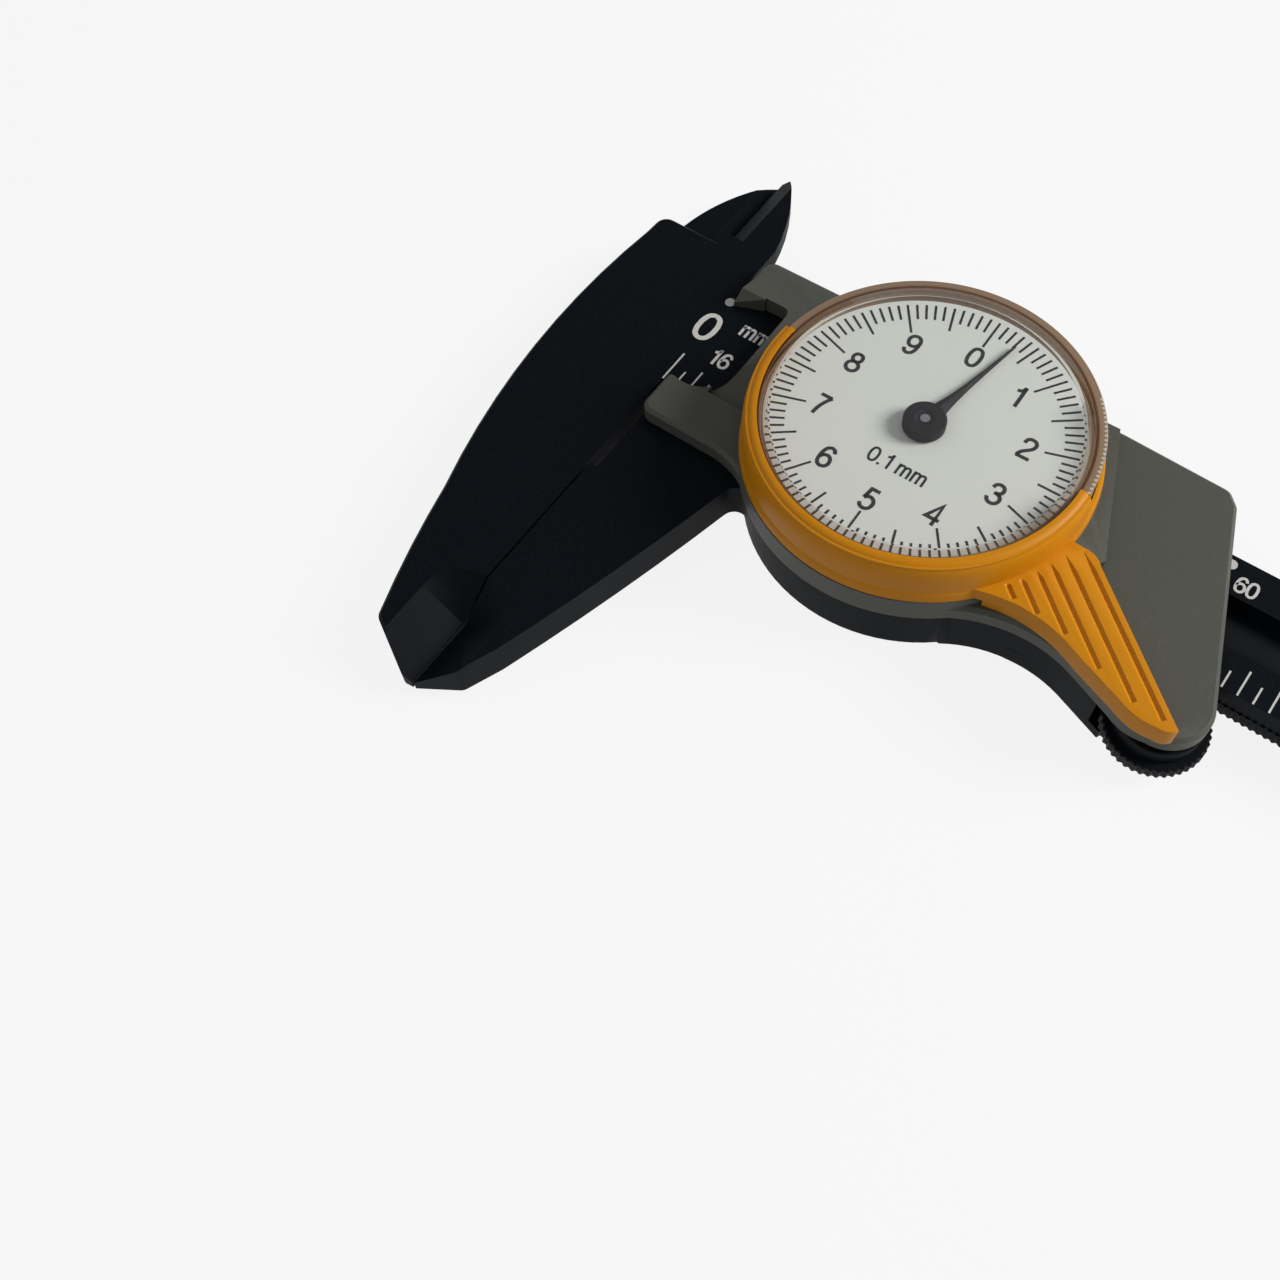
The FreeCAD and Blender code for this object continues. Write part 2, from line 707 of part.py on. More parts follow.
def dial_guard():
    """Guard ring round the crystal, high on one side with a lip over it, and the thumb rest."""
    body = new_body("dial_guard", dial_rest_x, dial_y)
    outer = size("guard_radius")
    inner = size("crystal_radius") + 0.12
    low = platform + size("fit_gap") / 2
    # The rest leaves the ring in a curve and tapers to a rounded tip
    middle = (inner + outer) / 2
    fin = [
        (middle * 0.7133, -middle * 0.6967, -18),
        (17.9, -11.6, -15.7),
        (24.8, -13.2),
        (29.8, -15.0, 6.5),
        (33.9, -15.6, 1.7),
        (35.6, -14.85),
        (21.9, -3.5, 2.6),
        (19.6, -2.5),
        (middle * 0.9898, -middle * 0.1327, -middle),
    ]
    top = platform + 1.6
    pad(body, "ThumbRest", lambda s: outline(s, fin), platform + 0.02, top)
    foot = [
        (14.3, -12.1, -18),
        (17.9, -11.6, -15.7),
        (24.8, -13.2),
        (29.8, -15.0, 6.5),
        (33.9, -15.6, 1.7),
        (35.6, -14.85),
        (21.9, -3.5),
        (21.0, -3.3),
        (17.3, -8.1),
        (16.7, -8.75),
    ]
    pad(body, "ThumbRestFoot", lambda s: outline(s, foot), cover_top + 0.02, platform + 0.5)
    rim = outer.number + 0.05
    dress(body, "Fillet", 0.6, level_edges(top, lambda x, y: math.hypot(x, y) > rim))
    turned(body, "LowRing", [
        (inner, low),
        (outer, low),
        (outer, low + 0.3),
        (outer - 0.1, low + 0.7),
        (outer - 0.2, low + 1.1),
        (outer - 0.2, platform + 1.5),
        (inner, platform + 1.5),
    ])
    lip = [
        (inner + 0.06, platform + 1.2),
        (outer - 0.24, platform + 1.2),
        (outer - 0.26, guard_top - 1.9),
        (outer - 0.35, guard_top - 1.1),
        (outer - 0.6, guard_top - 0.55),
        (outer - 1.0, guard_top - 0.18),
        (outer - 1.4, guard_top),
        (outer - 2.05, guard_top),
        (outer - 2.05, guard_top - 0.3),
        (inner + 0.06, guard_top - 0.65),
    ]
    turned(body, "HighWall", lip, angle=188, turn=174)
    # V grooves for the thumb run along the rest's outer edge
    heading = 50.4
    for number, (across, start, stop) in enumerate([
            (10.35, 17.0, 35.6), (8.57, 16.9, 33.2), (6.87, 17.3, 29.2),
            (5.3, 17.9, 25.0), (3.6, 18.3, 22.3), (2.1, 18.4, 20.2)]):
        notch = [(across - 0.3, top + 0.05), (across, top - 0.3), (across + 0.3, top + 0.05)]
        sketch = new_sketch(body, f"Groove{number}", "XZ_Plane", stop, heading)
        outline(sketch, notch)
        feature(body, "Pocket", sketch, stop - start)
    return body


def crystal():
    body = new_body("crystal", dial_rest_x, dial_y)
    outer = size("crystal_radius")
    inner = outer - 0.9
    profile = [
        (inner, platform + 0.4),
        (outer, platform + 0.4),
        (outer, crystal_top - 1.9),
        (outer - 0.25, crystal_top - 1.7),
        (outer - 1.4, crystal_top - 1.7),
        (outer - 1.5, crystal_top - 0.5),
        (outer - 1.65, crystal_top - 0.15),
        (outer - 2.0, crystal_top),
        (0, crystal_top),
        (0, crystal_top - 0.7),
        (outer - 2.6, crystal_top - 0.7),
        (outer - 2.3, face_top + 0.2),
        (inner, face_top + 0.2),
    ]
    turned(body, "Cap", profile)
    return body


def dial_pieces():
    body = new_body("dial_plate", dial_rest_x, dial_y)
    turned(body, "Disc", ring(1.7, size("face_radius") + 0.3, face_top - 0.5, face_top))
    body = new_body("dial_carrier", dial_rest_x, dial_y)
    inner = size("face_radius") - 0.3
    outer = size("crystal_radius") - 0.9 - 0.02
    turned(body, "Ring", [
        (inner, platform + 0.5),
        (outer, platform + 0.5),
        (outer, face_top - 0.5),
        (size("face_radius") - 2, face_top - 0.5),
        (size("face_radius") - 2, web_top + 0.2),
        (inner, web_top + 0.2),
    ])
    body = new_body("friction_ring", dial_rest_x, dial_y)
    turned(body, "Ring", ring(inner + 0.1, outer + 0.6, platform, platform + 0.36))
    return body


def pointer_group():
    body = new_body("pinion_staff", dial_rest_x, dial_y)
    r = size("staff_radius")
    turned(body, "Staff", [
        (0, rack_top - 0.05),
        (0.95, rack_top - 0.05),
        (0.95, bridge_bottom - 0.1),
        (r, bridge_bottom - 0.1),
        (r, face_top + 1.4),
        (0, face_top + 1.4),
    ])
    teeth = gear_points(numbers["pinion_teeth"], tooth_pitch.number, STEEP, ADDENDUM, DEDENDUM, PLAY,
                        -math.pi / 2 + math.pi / numbers["pinion_teeth"])
    solid_part("pinion", extruded(teeth, channel_floor + 0.15, rack_top - 0.05), dial_rest_x, dial_y)
    body = new_body("pointer", dial_rest_x, dial_y)
    low = face_top + 0.2
    reach = size("face_radius") - 2.1
    at = math.pi / 2 - 2 * math.pi * numbers["rest_opening"] / numbers["turn_travel"]
    turned(body, "Hub", [
        (r + 0.01, low),
        (2.2, low),
        (2.2, low + 1.15),
        (2.05, low + 1.3),
        (0.95, low + 1.3),
        (0.8, low + 1.1),
        (r + 0.01, low + 1.1),
    ])
    along = V(math.cos(at), math.sin(at), 0)
    side = V(-along.y, along.x, 0)
    corners = [
        along * 1.3 + side * 1.35, along * 1.3 - side * 1.35,
        along * reach.number - side * 0.1, along * reach.number + side * 0.1,
    ]
    pad(body, "Blade", lambda s: outline(s, [(p.x, p.y) for p in corners]), low + 0.05, low + 1.15)
    # The blade thins towards its tip and comes down to the dial
    above = [(2.25, low + 1.1), (reach + 1, low + 0.4), (reach + 1, low + 2), (2.25, low + 2)]
    below = [(2.25, low - 0.2), (reach + 1, low - 0.2), (reach + 1, low + 0.15), (2.25, low + 0.65)]
    for name, corners in (("AboveBlade", above), ("BelowBlade", below)):
        sketch = new_sketch(body, name, "XZ_Plane", 3, math.degrees(at))
        outline(sketch, corners)
        feature(body, "Pocket", sketch, 6)


def bridge_screw_places():
    reach = well_radius - 2.8
    return [(reach, 2.4), (-reach, 2.4)]


def bearing_pieces():
    body = new_body("bearing_bridge", dial_rest_x, dial_y)
    half_long = well_radius - 0.6
    pad(body, "Plate", lambda s: outline(s, [
        (-half_long + 2.2, -4.6), (half_long - 2.2, -4.6), (half_long - 0.4, -2.2), (half_long - 0.4, 2.2),
        (half_long - 2.2, 4.6), (-half_long + 2.2, 4.6), (-half_long + 0.4, 2.2), (-half_long + 0.4, -2.2),
    ]), bridge_bottom, bridge_top)
    cut(body, "BushHole", lambda s: circle(s, 0, 0, size("bush_radius") + 0.01),
        bridge_bottom - OVER, bridge_top + OVER)
    for number, (x, y) in enumerate(bridge_screw_places(), 1):
        cut(body, f"ScrewHole{number}", lambda s: circle(s, x, y, 0.8),
            bridge_bottom - OVER, bridge_top + OVER)
    gap = size("fit_gap")
    for label, low, high in (
        ("lower_bush", bridge_bottom - 0.05, bridge_top + 0.2),
        ("upper_bush", web_bottom - 0.1, web_top + 0.1),
    ):
        body = new_body(label, dial_rest_x, dial_y)
        turned(body, "Sleeve", ring(size("staff_radius") + gap, size("bush_radius"), low, high))


def screw_shape(radius, head, length, head_height):
    """Slotted pan screw along +Z with its head at the bottom."""
    shank = Part.makeCylinder(radius, length - head_height, V(0, 0, head_height))
    cap = Part.makeCylinder(head, head_height)
    slot = Part.makeBox(head * 3, head * 0.3, head_height * 0.5, V(-head * 1.5, -head * 0.15, 0))
    return cap.fuse(shank).cut(slot)


def fasteners():
    length = (cover_bottom - body_bottom).number + 1.1
    screw = screw_shape(numbers["screw_radius"], numbers["head_radius"], length - 0.1, 1.2)
    copies = []
    for x, y in cover_screw_places():
        place = V(as_size(x).number, as_size(y).number, body_bottom.number + 0.1)
        copies.append(screw.translated(place))
    solid_part("cover_screws", Part.makeCompound(copies), opening)
    small = screw_shape(0.75, 1.3, (web_bottom - bridge_bottom).number + 0.8, 0.35)
    copies = []
    for x, y in bridge_screw_places():
        place = V(as_size(x).number, as_size(y).number, bridge_bottom.number - 0.35)
        copies.append(small.translated(place))
    solid_part("bridge_screws", Part.makeCompound(copies), dial_rest_x, dial_y)
    rivet = Part.makeCylinder(0.6, numbers["back_wall"] + 0.1 + numbers["rod_thick"] + 0.1)
    copies = [rivet.translated(V(as_size(x).number, 0, body_bottom.number + 0.1)) for x in rivet_places()]
    solid_part("depth_rod_rivets", Part.makeCompound(copies), opening)


def depth_rod():
    body = new_body("depth_rod", opening)
    half = size("rod_width") / 2
    low, high = 0.15, 0.15 + size("rod_thick")
    start = size("dial_x") + 18
    pad(body, "Strip", lambda s: outline(s, [
        (start, -half), (beam_end - 3, -half), (beam_end, -half + 1.4), (beam_end, half), (start, half),
    ]), low, high)
    for number, x in enumerate(rivet_places(), 1):
        cut(body, f"RivetHole{number}", lambda s: circle(s, x, 0, 0.62), low - OVER, high + OVER)


def beam_fittings():
    first = -4
    last = int(numbers["travel"] / tooth_pitch.number) + 4
    points = rack_points(first, last, tooth_pitch.number, STEEP, ADDENDUM, DEDENDUM, PLAY,
                         numbers["rack_back"] - 0.05)
    solid_part("measuring_rack", extruded(points, channel_floor, rack_top),
               dial_rest_x, -size("channel_half"))
    pitch = numbers["wheel_pitch"]
    last = int(numbers["travel"] / pitch) + 7
    points = rack_points(-7, last, pitch, NORMAL, 0.2, 0.26, 0.06, thumb_rack_line.number - beam_half.number + 0.65)
    flipped = [(x, -y) for x, y in points]
    solid_part("thumb_rack", extruded(flipped, 0.45, 2.1), wheel_rest_x, -thumb_rack_line)
    body = new_body("end_stop")
    half = size("channel_half") - 0.05
    pad(body, "Block", lambda s: box(s, beam_end - 4.5, -half, beam_end - 0.6, half), channel_floor, beam_top + 1.2)
    cut(body, "ScrewHole", lambda s: circle(s, beam_end - 2.5, 0, 0.85), channel_floor - OVER, beam_top + 2)
    cut(body, "ScrewSeat", lambda s: circle(s, beam_end - 2.5, 0, 1.4), beam_top + 0.5, beam_top + 2)
    screw = screw_shape(0.8, 1.3, beam_top.number + 1.1 - 1.75, 0.6)
    screw.rotate(V(0, 0, 0), V(1, 0, 0), 180)
    solid_part("end_stop_screw", screw, beam_end - 2.5, 0, beam_top + 1.1)


def thumb_wheel():
    points = gear_points(numbers["wheel_teeth"], numbers["wheel_pitch"], NORMAL, 0.2, 0.26, 0.06,
                         math.pi / 2 + math.pi / numbers["wheel_teeth"])
    rim = extruded(points, 0.5, 2.0)
    top = beam_top.number - 0.6
    step = Part.makeCylinder(wheel_radius.number - 0.75, top - 2.0, V(0, 0, 2.0))
    bore = Part.makeCylinder(1.05, 20, V(0, 0, -5))
    dish = Part.makeCylinder(wheel_radius.number - 1.9, 1, V(0, 0, top - 0.35))
    solid_part("thumb_wheel", rim.fuse(step).cut(bore).cut(dish), wheel_rest_x, wheel_y)
    body = new_body("thumb_wheel_axle", wheel_rest_x, wheel_y)
    turned(body, "Axle", [
        (0, body_bottom + 0.1), (1.0, body_bottom + 0.1), (1.0, cover_bottom + 0.9), (0, cover_bottom + 0.9),
    ])


def gib_spring():
    body = new_body("gib_spring", opening)
    near = inner_half - 0.05
    far = inner_half + 0.7
    strip = [
        (15, far), (15, far - 0.25), (24, near), (36, near), (45, far - 0.25), (45, far),
        (36, near + 0.25), (24, near + 0.25),
    ]
    pad(body, "Leaf", lambda s: outline(s, strip), 1.2, 3.4)


beam_with_fixed_jaw()
beam_fittings()
slide_with_movable_jaw()
top_cover()
dial_guard()
crystal()
dial_pieces()
pointer_group()
bearing_pieces()
fasteners()
depth_rod()
thumb_wheel()
gib_spring()

doc.recompute()
for item in doc.Objects:
    if "Invalid" in item.State or "Error" in item.State:
        raise RuntimeError(f"{item.Label} is {item.State}")
for part in parts:
    if part.Shape.isNull() or not part.Shape.isValid() or not part.Shape.Solids:
        raise RuntimeError(f"{part.Label} has no valid solid")
for part in parts:
    part.Shape.exportStep(f"parts/{part.Label}.step")
    print(part.Label, len(part.Shape.Solids), round(part.Shape.Volume, 2))
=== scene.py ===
import json
import math

import bmesh
import bpy
from mathutils import Matrix, Vector

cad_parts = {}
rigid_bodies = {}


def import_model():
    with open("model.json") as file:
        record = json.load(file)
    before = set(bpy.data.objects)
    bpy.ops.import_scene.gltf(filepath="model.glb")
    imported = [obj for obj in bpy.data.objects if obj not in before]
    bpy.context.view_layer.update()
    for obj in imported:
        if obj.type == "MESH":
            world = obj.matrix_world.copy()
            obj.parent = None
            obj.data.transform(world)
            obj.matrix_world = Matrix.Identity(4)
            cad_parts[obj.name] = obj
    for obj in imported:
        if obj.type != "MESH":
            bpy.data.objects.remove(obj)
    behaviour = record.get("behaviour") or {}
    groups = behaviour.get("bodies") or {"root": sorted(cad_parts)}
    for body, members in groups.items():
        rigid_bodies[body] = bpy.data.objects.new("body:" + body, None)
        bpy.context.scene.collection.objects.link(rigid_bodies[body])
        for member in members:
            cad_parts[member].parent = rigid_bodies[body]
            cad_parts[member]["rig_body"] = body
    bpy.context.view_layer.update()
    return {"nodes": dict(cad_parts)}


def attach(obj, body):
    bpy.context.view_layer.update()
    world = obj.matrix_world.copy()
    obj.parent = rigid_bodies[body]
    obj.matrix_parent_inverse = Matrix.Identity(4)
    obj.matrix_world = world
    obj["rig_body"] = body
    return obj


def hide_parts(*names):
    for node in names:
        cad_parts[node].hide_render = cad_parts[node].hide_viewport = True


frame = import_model()
nodes = frame["nodes"]
scene = bpy.context.scene
mm = 0.001
print("frame loaded with", len(nodes), "nodes")

# where things are, in millimetres
place = {"face": (28.3, -1.1085), "faceTop": 10.5, "beamTop": 4.5, "channelFloor": 2.5}


# node helpers

def addNode(tree, kind, **settings):
    node = tree.nodes.new(kind)
    for name, value in settings.items():
        setattr(node, name, value)
    return node


def feed(tree, target, value):
    # a socket is linked, anything else is written on the input
    if isinstance(value, bpy.types.NodeSocket):
        tree.links.new(value, target)
    else:
        target.default_value = value


def mathNode(tree, operation, *values):
    node = addNode(tree, "ShaderNodeMath", operation=operation)
    for index, value in enumerate(values):
        feed(tree, node.inputs[index], value)
    return node.outputs[0]


def vectorNode(tree, x, y, z):
    node = addNode(tree, "ShaderNodeCombineXYZ")
    for index, value in enumerate((x, y, z)):
        feed(tree, node.inputs[index], value)
    return node.outputs[0]


def objectSpot(tree):
    return addNode(tree, "ShaderNodeTexCoord").outputs["Object"]


def noiseNode(tree, spot, scale, detail, **settings):
    noise = addNode(tree, "ShaderNodeTexNoise", **settings)
    noise.inputs["Detail"].default_value = detail
    feed(tree, noise.inputs["Vector"], spot)
    feed(tree, noise.inputs["Scale"], scale)
    return noise.outputs[0]


def rangeNode(tree, value, zeroAt, oneAt):
    node = addNode(tree, "ShaderNodeMapRange")
    tree.links.new(value, node.inputs["Value"])
    node.inputs["From Min"].default_value = zeroAt
    node.inputs["From Max"].default_value = oneAt
    return node.outputs[0]


def mixColours(tree, mask, first, second):
    mix = addNode(tree, "ShaderNodeMix", data_type="RGBA")
    tree.links.new(mask, mix.inputs["Factor"])
    for name, value in (("A", first), ("B", second)):
        feed(tree, mix.inputs[name], (*value, 1.0) if isinstance(value, tuple) else value)
    return mix.outputs["Result"]


def mixShaders(tree, share, first, second, outputKind="OUTPUT_MATERIAL"):
    either = addNode(tree, "ShaderNodeMixShader")
    tree.links.new(share, either.inputs[0])
    tree.links.new(first.outputs[0], either.inputs[1])
    tree.links.new(second.outputs[0], either.inputs[2])
    output = next(node for node in tree.nodes if node.type == outputKind)
    tree.links.new(either.outputs[0], output.inputs["Surface"])


def bearsLight(tree):
    # 1 for the rays that carry light to a surface, which go straight through the crystal
    path = addNode(tree, "ShaderNodeLightPath")
    return mathNode(tree, "MAXIMUM", path.outputs["Is Shadow Ray"], path.outputs["Is Diffuse Ray"])


# shader groups that several finishes share

def newShaderGroup(name, inputs, outputs):
    group = bpy.data.node_groups.new(name, "ShaderNodeTree")
    for label, value in inputs.items():
        socket = group.interface.new_socket(name=label, in_out="INPUT", socket_type="NodeSocketFloat")
        socket.default_value = value
    for label in outputs:
        group.interface.new_socket(name=label, in_out="OUTPUT", socket_type="NodeSocketFloat")
    return group, addNode(group, "NodeGroupInput"), addNode(group, "NodeGroupOutput")


grainShape = {"fineDetail": 3.0, "fineWeight": 0.7, "coarseScale": 0.35, "coarseDetail": 1.0,
              "coarseWeight": 0.3, "speckFrom": 0.52, "speckTo": 0.72}


def makeMouldGrain():
    # spark-eroded mould texture: a height for the bump and a mask of paler specks
    group, entry, leave = newShaderGroup(
        "mouldGrain", {"grainScale": 5000.0, "speckAmount": 0.3}, ["height", "specks"])
    spot = objectSpot(group)
    scale = entry.outputs["grainScale"]
    fine = noiseNode(group, spot, scale, grainShape["fineDetail"])
    coarse = noiseNode(group, spot, mathNode(group, "MULTIPLY", scale, grainShape["coarseScale"]),
                       grainShape["coarseDetail"])
    height = mathNode(group, "ADD", mathNode(group, "MULTIPLY", fine, grainShape["fineWeight"]),
                      mathNode(group, "MULTIPLY", coarse, grainShape["coarseWeight"]))
    specks = rangeNode(group, fine, grainShape["speckFrom"], grainShape["speckTo"])
    specks = mathNode(group, "MULTIPLY", specks, entry.outputs["speckAmount"])
    group.links.new(height, leave.inputs["height"])
    group.links.new(specks, leave.inputs["specks"])
    return group


smudgeShape = {"scale": 140.0, "detail": 5.0}


def makeHandling():
    # broad smudges left by fingers, as a change of roughness
    group, entry, leave = newShaderGroup(
        "handling", {"baseRoughness": 0.45, "smudge": 0.08}, ["roughness"])
    broad = noiseNode(group, objectSpot(group), smudgeShape["scale"], smudgeShape["detail"])
    amount = mathNode(group, "MULTIPLY", mathNode(group, "SUBTRACT", broad, 0.5), entry.outputs["smudge"])
    total = mathNode(group, "ADD", entry.outputs["baseRoughness"],
                     mathNode(group, "MULTIPLY", amount, 2.0))
    group.links.new(total, leave.inputs["roughness"])
    return group


brushShape = {"stretch": (0.04, 1.0, 1.0), "detail": 4.0}


def makeBrushing():
    # fine lines of ground or turned metal along X
    group, entry, leave = newShaderGroup("brushing", {"lineScale": 3000.0}, ["height", "streaks"])
    turned = addNode(group, "ShaderNodeMapping")
    turned.inputs["Scale"].default_value = brushShape["stretch"]
    group.links.new(objectSpot(group), turned.inputs["Vector"])
    lines = noiseNode(group, turned.outputs[0], entry.outputs["lineScale"], brushShape["detail"])
    group.links.new(lines, leave.inputs["height"])
    group.links.new(lines, leave.inputs["streaks"])
    return group


mouldGrain = makeMouldGrain()
handling = makeHandling()
brushing = makeBrushing()


def groupNode(tree, group, **values):
    node = addNode(tree, "ShaderNodeGroup", node_tree=group)
    for name, value in values.items():
        node.inputs[name].default_value = value
    return node


def newMaterial(name):
    material = bpy.data.materials.new(name)
    material.use_nodes = True
    tree = material.node_tree
    shader = next(node for node in tree.nodes if node.type == "BSDF_PRINCIPLED")
    return material, tree, shader


def addTouch(tree, shader, roughness, smudge):
    touch = groupNode(tree, handling, baseRoughness=roughness, smudge=smudge)
    tree.links.new(touch.outputs["roughness"], shader.inputs["Roughness"])


def addBump(tree, shader, height, strength, depth):
    bump = addNode(tree, "ShaderNodeBump")
    bump.inputs["Strength"].default_value = strength
    bump.inputs["Distance"].default_value = depth * mm
    tree.links.new(height, bump.inputs["Height"])
    tree.links.new(bump.outputs[0], shader.inputs["Normal"])


# finishes

plastics = {
    "blackPlastic": {
        "colour": (0.0032, 0.0046, 0.0066), "speck": (0.011, 0.013, 0.016), "speckAmount": 0.5,
        "grainScale": 5200.0, "grainDepth": 0.016, "roughness": 0.48, "smudge": 0.07, "gloss": 0.05,
    },
    "pointerPlastic": {
        "colour": (0.010, 0.010, 0.011), "speck": (0.018, 0.018, 0.019), "speckAmount": 0.3,
        "grainScale": 7000.0, "grainDepth": 0.006, "roughness": 0.55, "smudge": 0.04, "gloss": 0.06,
    },
    "greyPlastic": {
        "colour": (0.076, 0.079, 0.066), "speck": (0.11, 0.112, 0.098), "speckAmount": 0.45,
        "grainScale": 5200.0, "grainDepth": 0.016, "roughness": 0.5, "smudge": 0.07, "gloss": 0.2,
    },
    "orangePlastic": {
        "colour": (0.57, 0.215, 0.003), "speck": (0.63, 0.255, 0.006), "speckAmount": 0.35,
        "grainScale": 6000.0, "grainDepth": 0.010, "roughness": 0.45, "smudge": 0.06, "gloss": 0.16,
    },
    "wheelPlastic": {
        "colour": (0.0045, 0.0055, 0.0072), "speck": (0.012, 0.013, 0.016), "speckAmount": 0.4,
        "grainScale": 6500.0, "grainDepth": 0.012, "roughness": 0.45, "smudge": 0.05, "gloss": 0.06,
    },
    "dialPaint": {
        "colour": (0.645, 0.662, 0.618), "speck": (0.60, 0.615, 0.575), "speckAmount": 0.5,
        "grainScale": 3800.0, "grainDepth": 0.003, "roughness": 0.55, "smudge": 0.03, "gloss": 0.3,
    },
    "scaleInk": {
        "colour": (0.56, 0.54, 0.51), "speck": (0.44, 0.43, 0.41), "speckAmount": 0.6,
        "grainScale": 5200.0, "grainDepth": 0.008, "roughness": 0.55, "smudge": 0.05, "gloss": 0.3,
    },
    "dialInk": {
        "colour": (0.010, 0.011, 0.012), "speck": (0.020, 0.021, 0.022), "speckAmount": 0.5,
        "grainScale": 5200.0, "grainDepth": 0.004, "roughness": 0.5, "smudge": 0.03, "gloss": 0.3,
    },
    # the clear crystal's ribs are painted an opaque pale tan: painted light caught in the clear ribs
    "crystalRibsPaintedLight": {
        "colour": (0.5, 0.45, 0.38), "speck": (0.66, 0.62, 0.56), "speckAmount": 0.5,
        "grainScale": 2600.0, "grainDepth": 0.004, "roughness": 0.25, "smudge": 0.05, "gloss": 0.5,
    },
}
plasticBump = 0.6


def makePlastic(name, values):
    material, tree, shader = newMaterial(name)
    grain = groupNode(tree, mouldGrain, grainScale=values["grainScale"],
                      speckAmount=values["speckAmount"])
    colour = mixColours(tree, grain.outputs["specks"], values["colour"], values["speck"])
    tree.links.new(colour, shader.inputs["Base Color"])
    shader.inputs["Specular IOR Level"].default_value = values["gloss"]
    addTouch(tree, shader, values["roughness"], values["smudge"])
    addBump(tree, shader, grain.outputs["height"], plasticBump, values["grainDepth"])
    return material


metals = {
    "groundSteel": {"colour": (0.48, 0.49, 0.50), "dark": (0.33, 0.34, 0.35), "roughness": 0.3,
                    "lineScale": 2600.0, "lineDepth": 0.004},
    "springSteel": {"colour": (0.40, 0.41, 0.43), "dark": (0.28, 0.29, 0.31), "roughness": 0.25,
                    "lineScale": 3200.0, "lineDepth": 0.003},
    "turnedBrass": {"colour": (0.66, 0.50, 0.24), "dark": (0.48, 0.35, 0.15), "roughness": 0.28,
                    "lineScale": 3000.0, "lineDepth": 0.003},
}
metalBump = 0.5
metalSmudge = 0.06


def makeMetal(name, values):
    material, tree, shader = newMaterial(name)
    lines = groupNode(tree, brushing, lineScale=values["lineScale"])
    colour = mixColours(tree, lines.outputs["streaks"], values["dark"], values["colour"])
    tree.links.new(colour, shader.inputs["Base Color"])
    shader.inputs["Metallic"].default_value = 1.0
    addTouch(tree, shader, values["roughness"], metalSmudge)
    addBump(tree, shader, lines.outputs["height"], metalBump, values["lineDepth"])
    return material


crystalLook = {"tint": (0.985, 0.985, 0.975), "roughness": 0.015, "smudge": 0.015, "ior": 1.49,
               "waveScale": 90.0, "waveDetail": 2.0, "waveBump": 0.3, "waveDepth": 0.004}


def makeCrystalFinish():
    material, tree, shader = newMaterial("clearCrystal")
    shader.inputs["Base Color"].default_value = (*crystalLook["tint"], 1.0)
    shader.inputs["IOR"].default_value = crystalLook["ior"]
    shader.inputs["Transmission Weight"].default_value = 1.0
    addTouch(tree, shader, crystalLook["roughness"], crystalLook["smudge"])
    wave = noiseNode(tree, objectSpot(tree), crystalLook["waveScale"], crystalLook["waveDetail"])
    addBump(tree, shader, wave, crystalLook["waveBump"], crystalLook["waveDepth"])
    # light passes straight on to the dial, without the dark shadow of solid glass
    mixShaders(tree, bearsLight(tree), shader, addNode(tree, "ShaderNodeBsdfTransparent"))
    return material


rimLook = {
    # the tan colour and the pale bands are painted refraction of the orange guard seen through the clear
    # rim; the dark brown line is painted shade along the rim's inner top corner
    "colour": (0.20, 0.122, 0.07), "pale": (0.29, 0.19, 0.12), "shadeLineColour": (0.075, 0.030, 0.008),
    "shadeLineRadius": 16.62, "shadeLineWidth": 0.16, "shoulderRadius": 16.4, "shoulderLow": 1.55,
    "bandScale": 620.0, "bandStretch": 4.0, "bandDetail": 3.0, "bandFrom": 0.42, "bandTo": 0.66,
    "roughness": 0.22, "smudge": 0.05, "alpha": 0.93, "shoulderAlpha": 0.22,
}


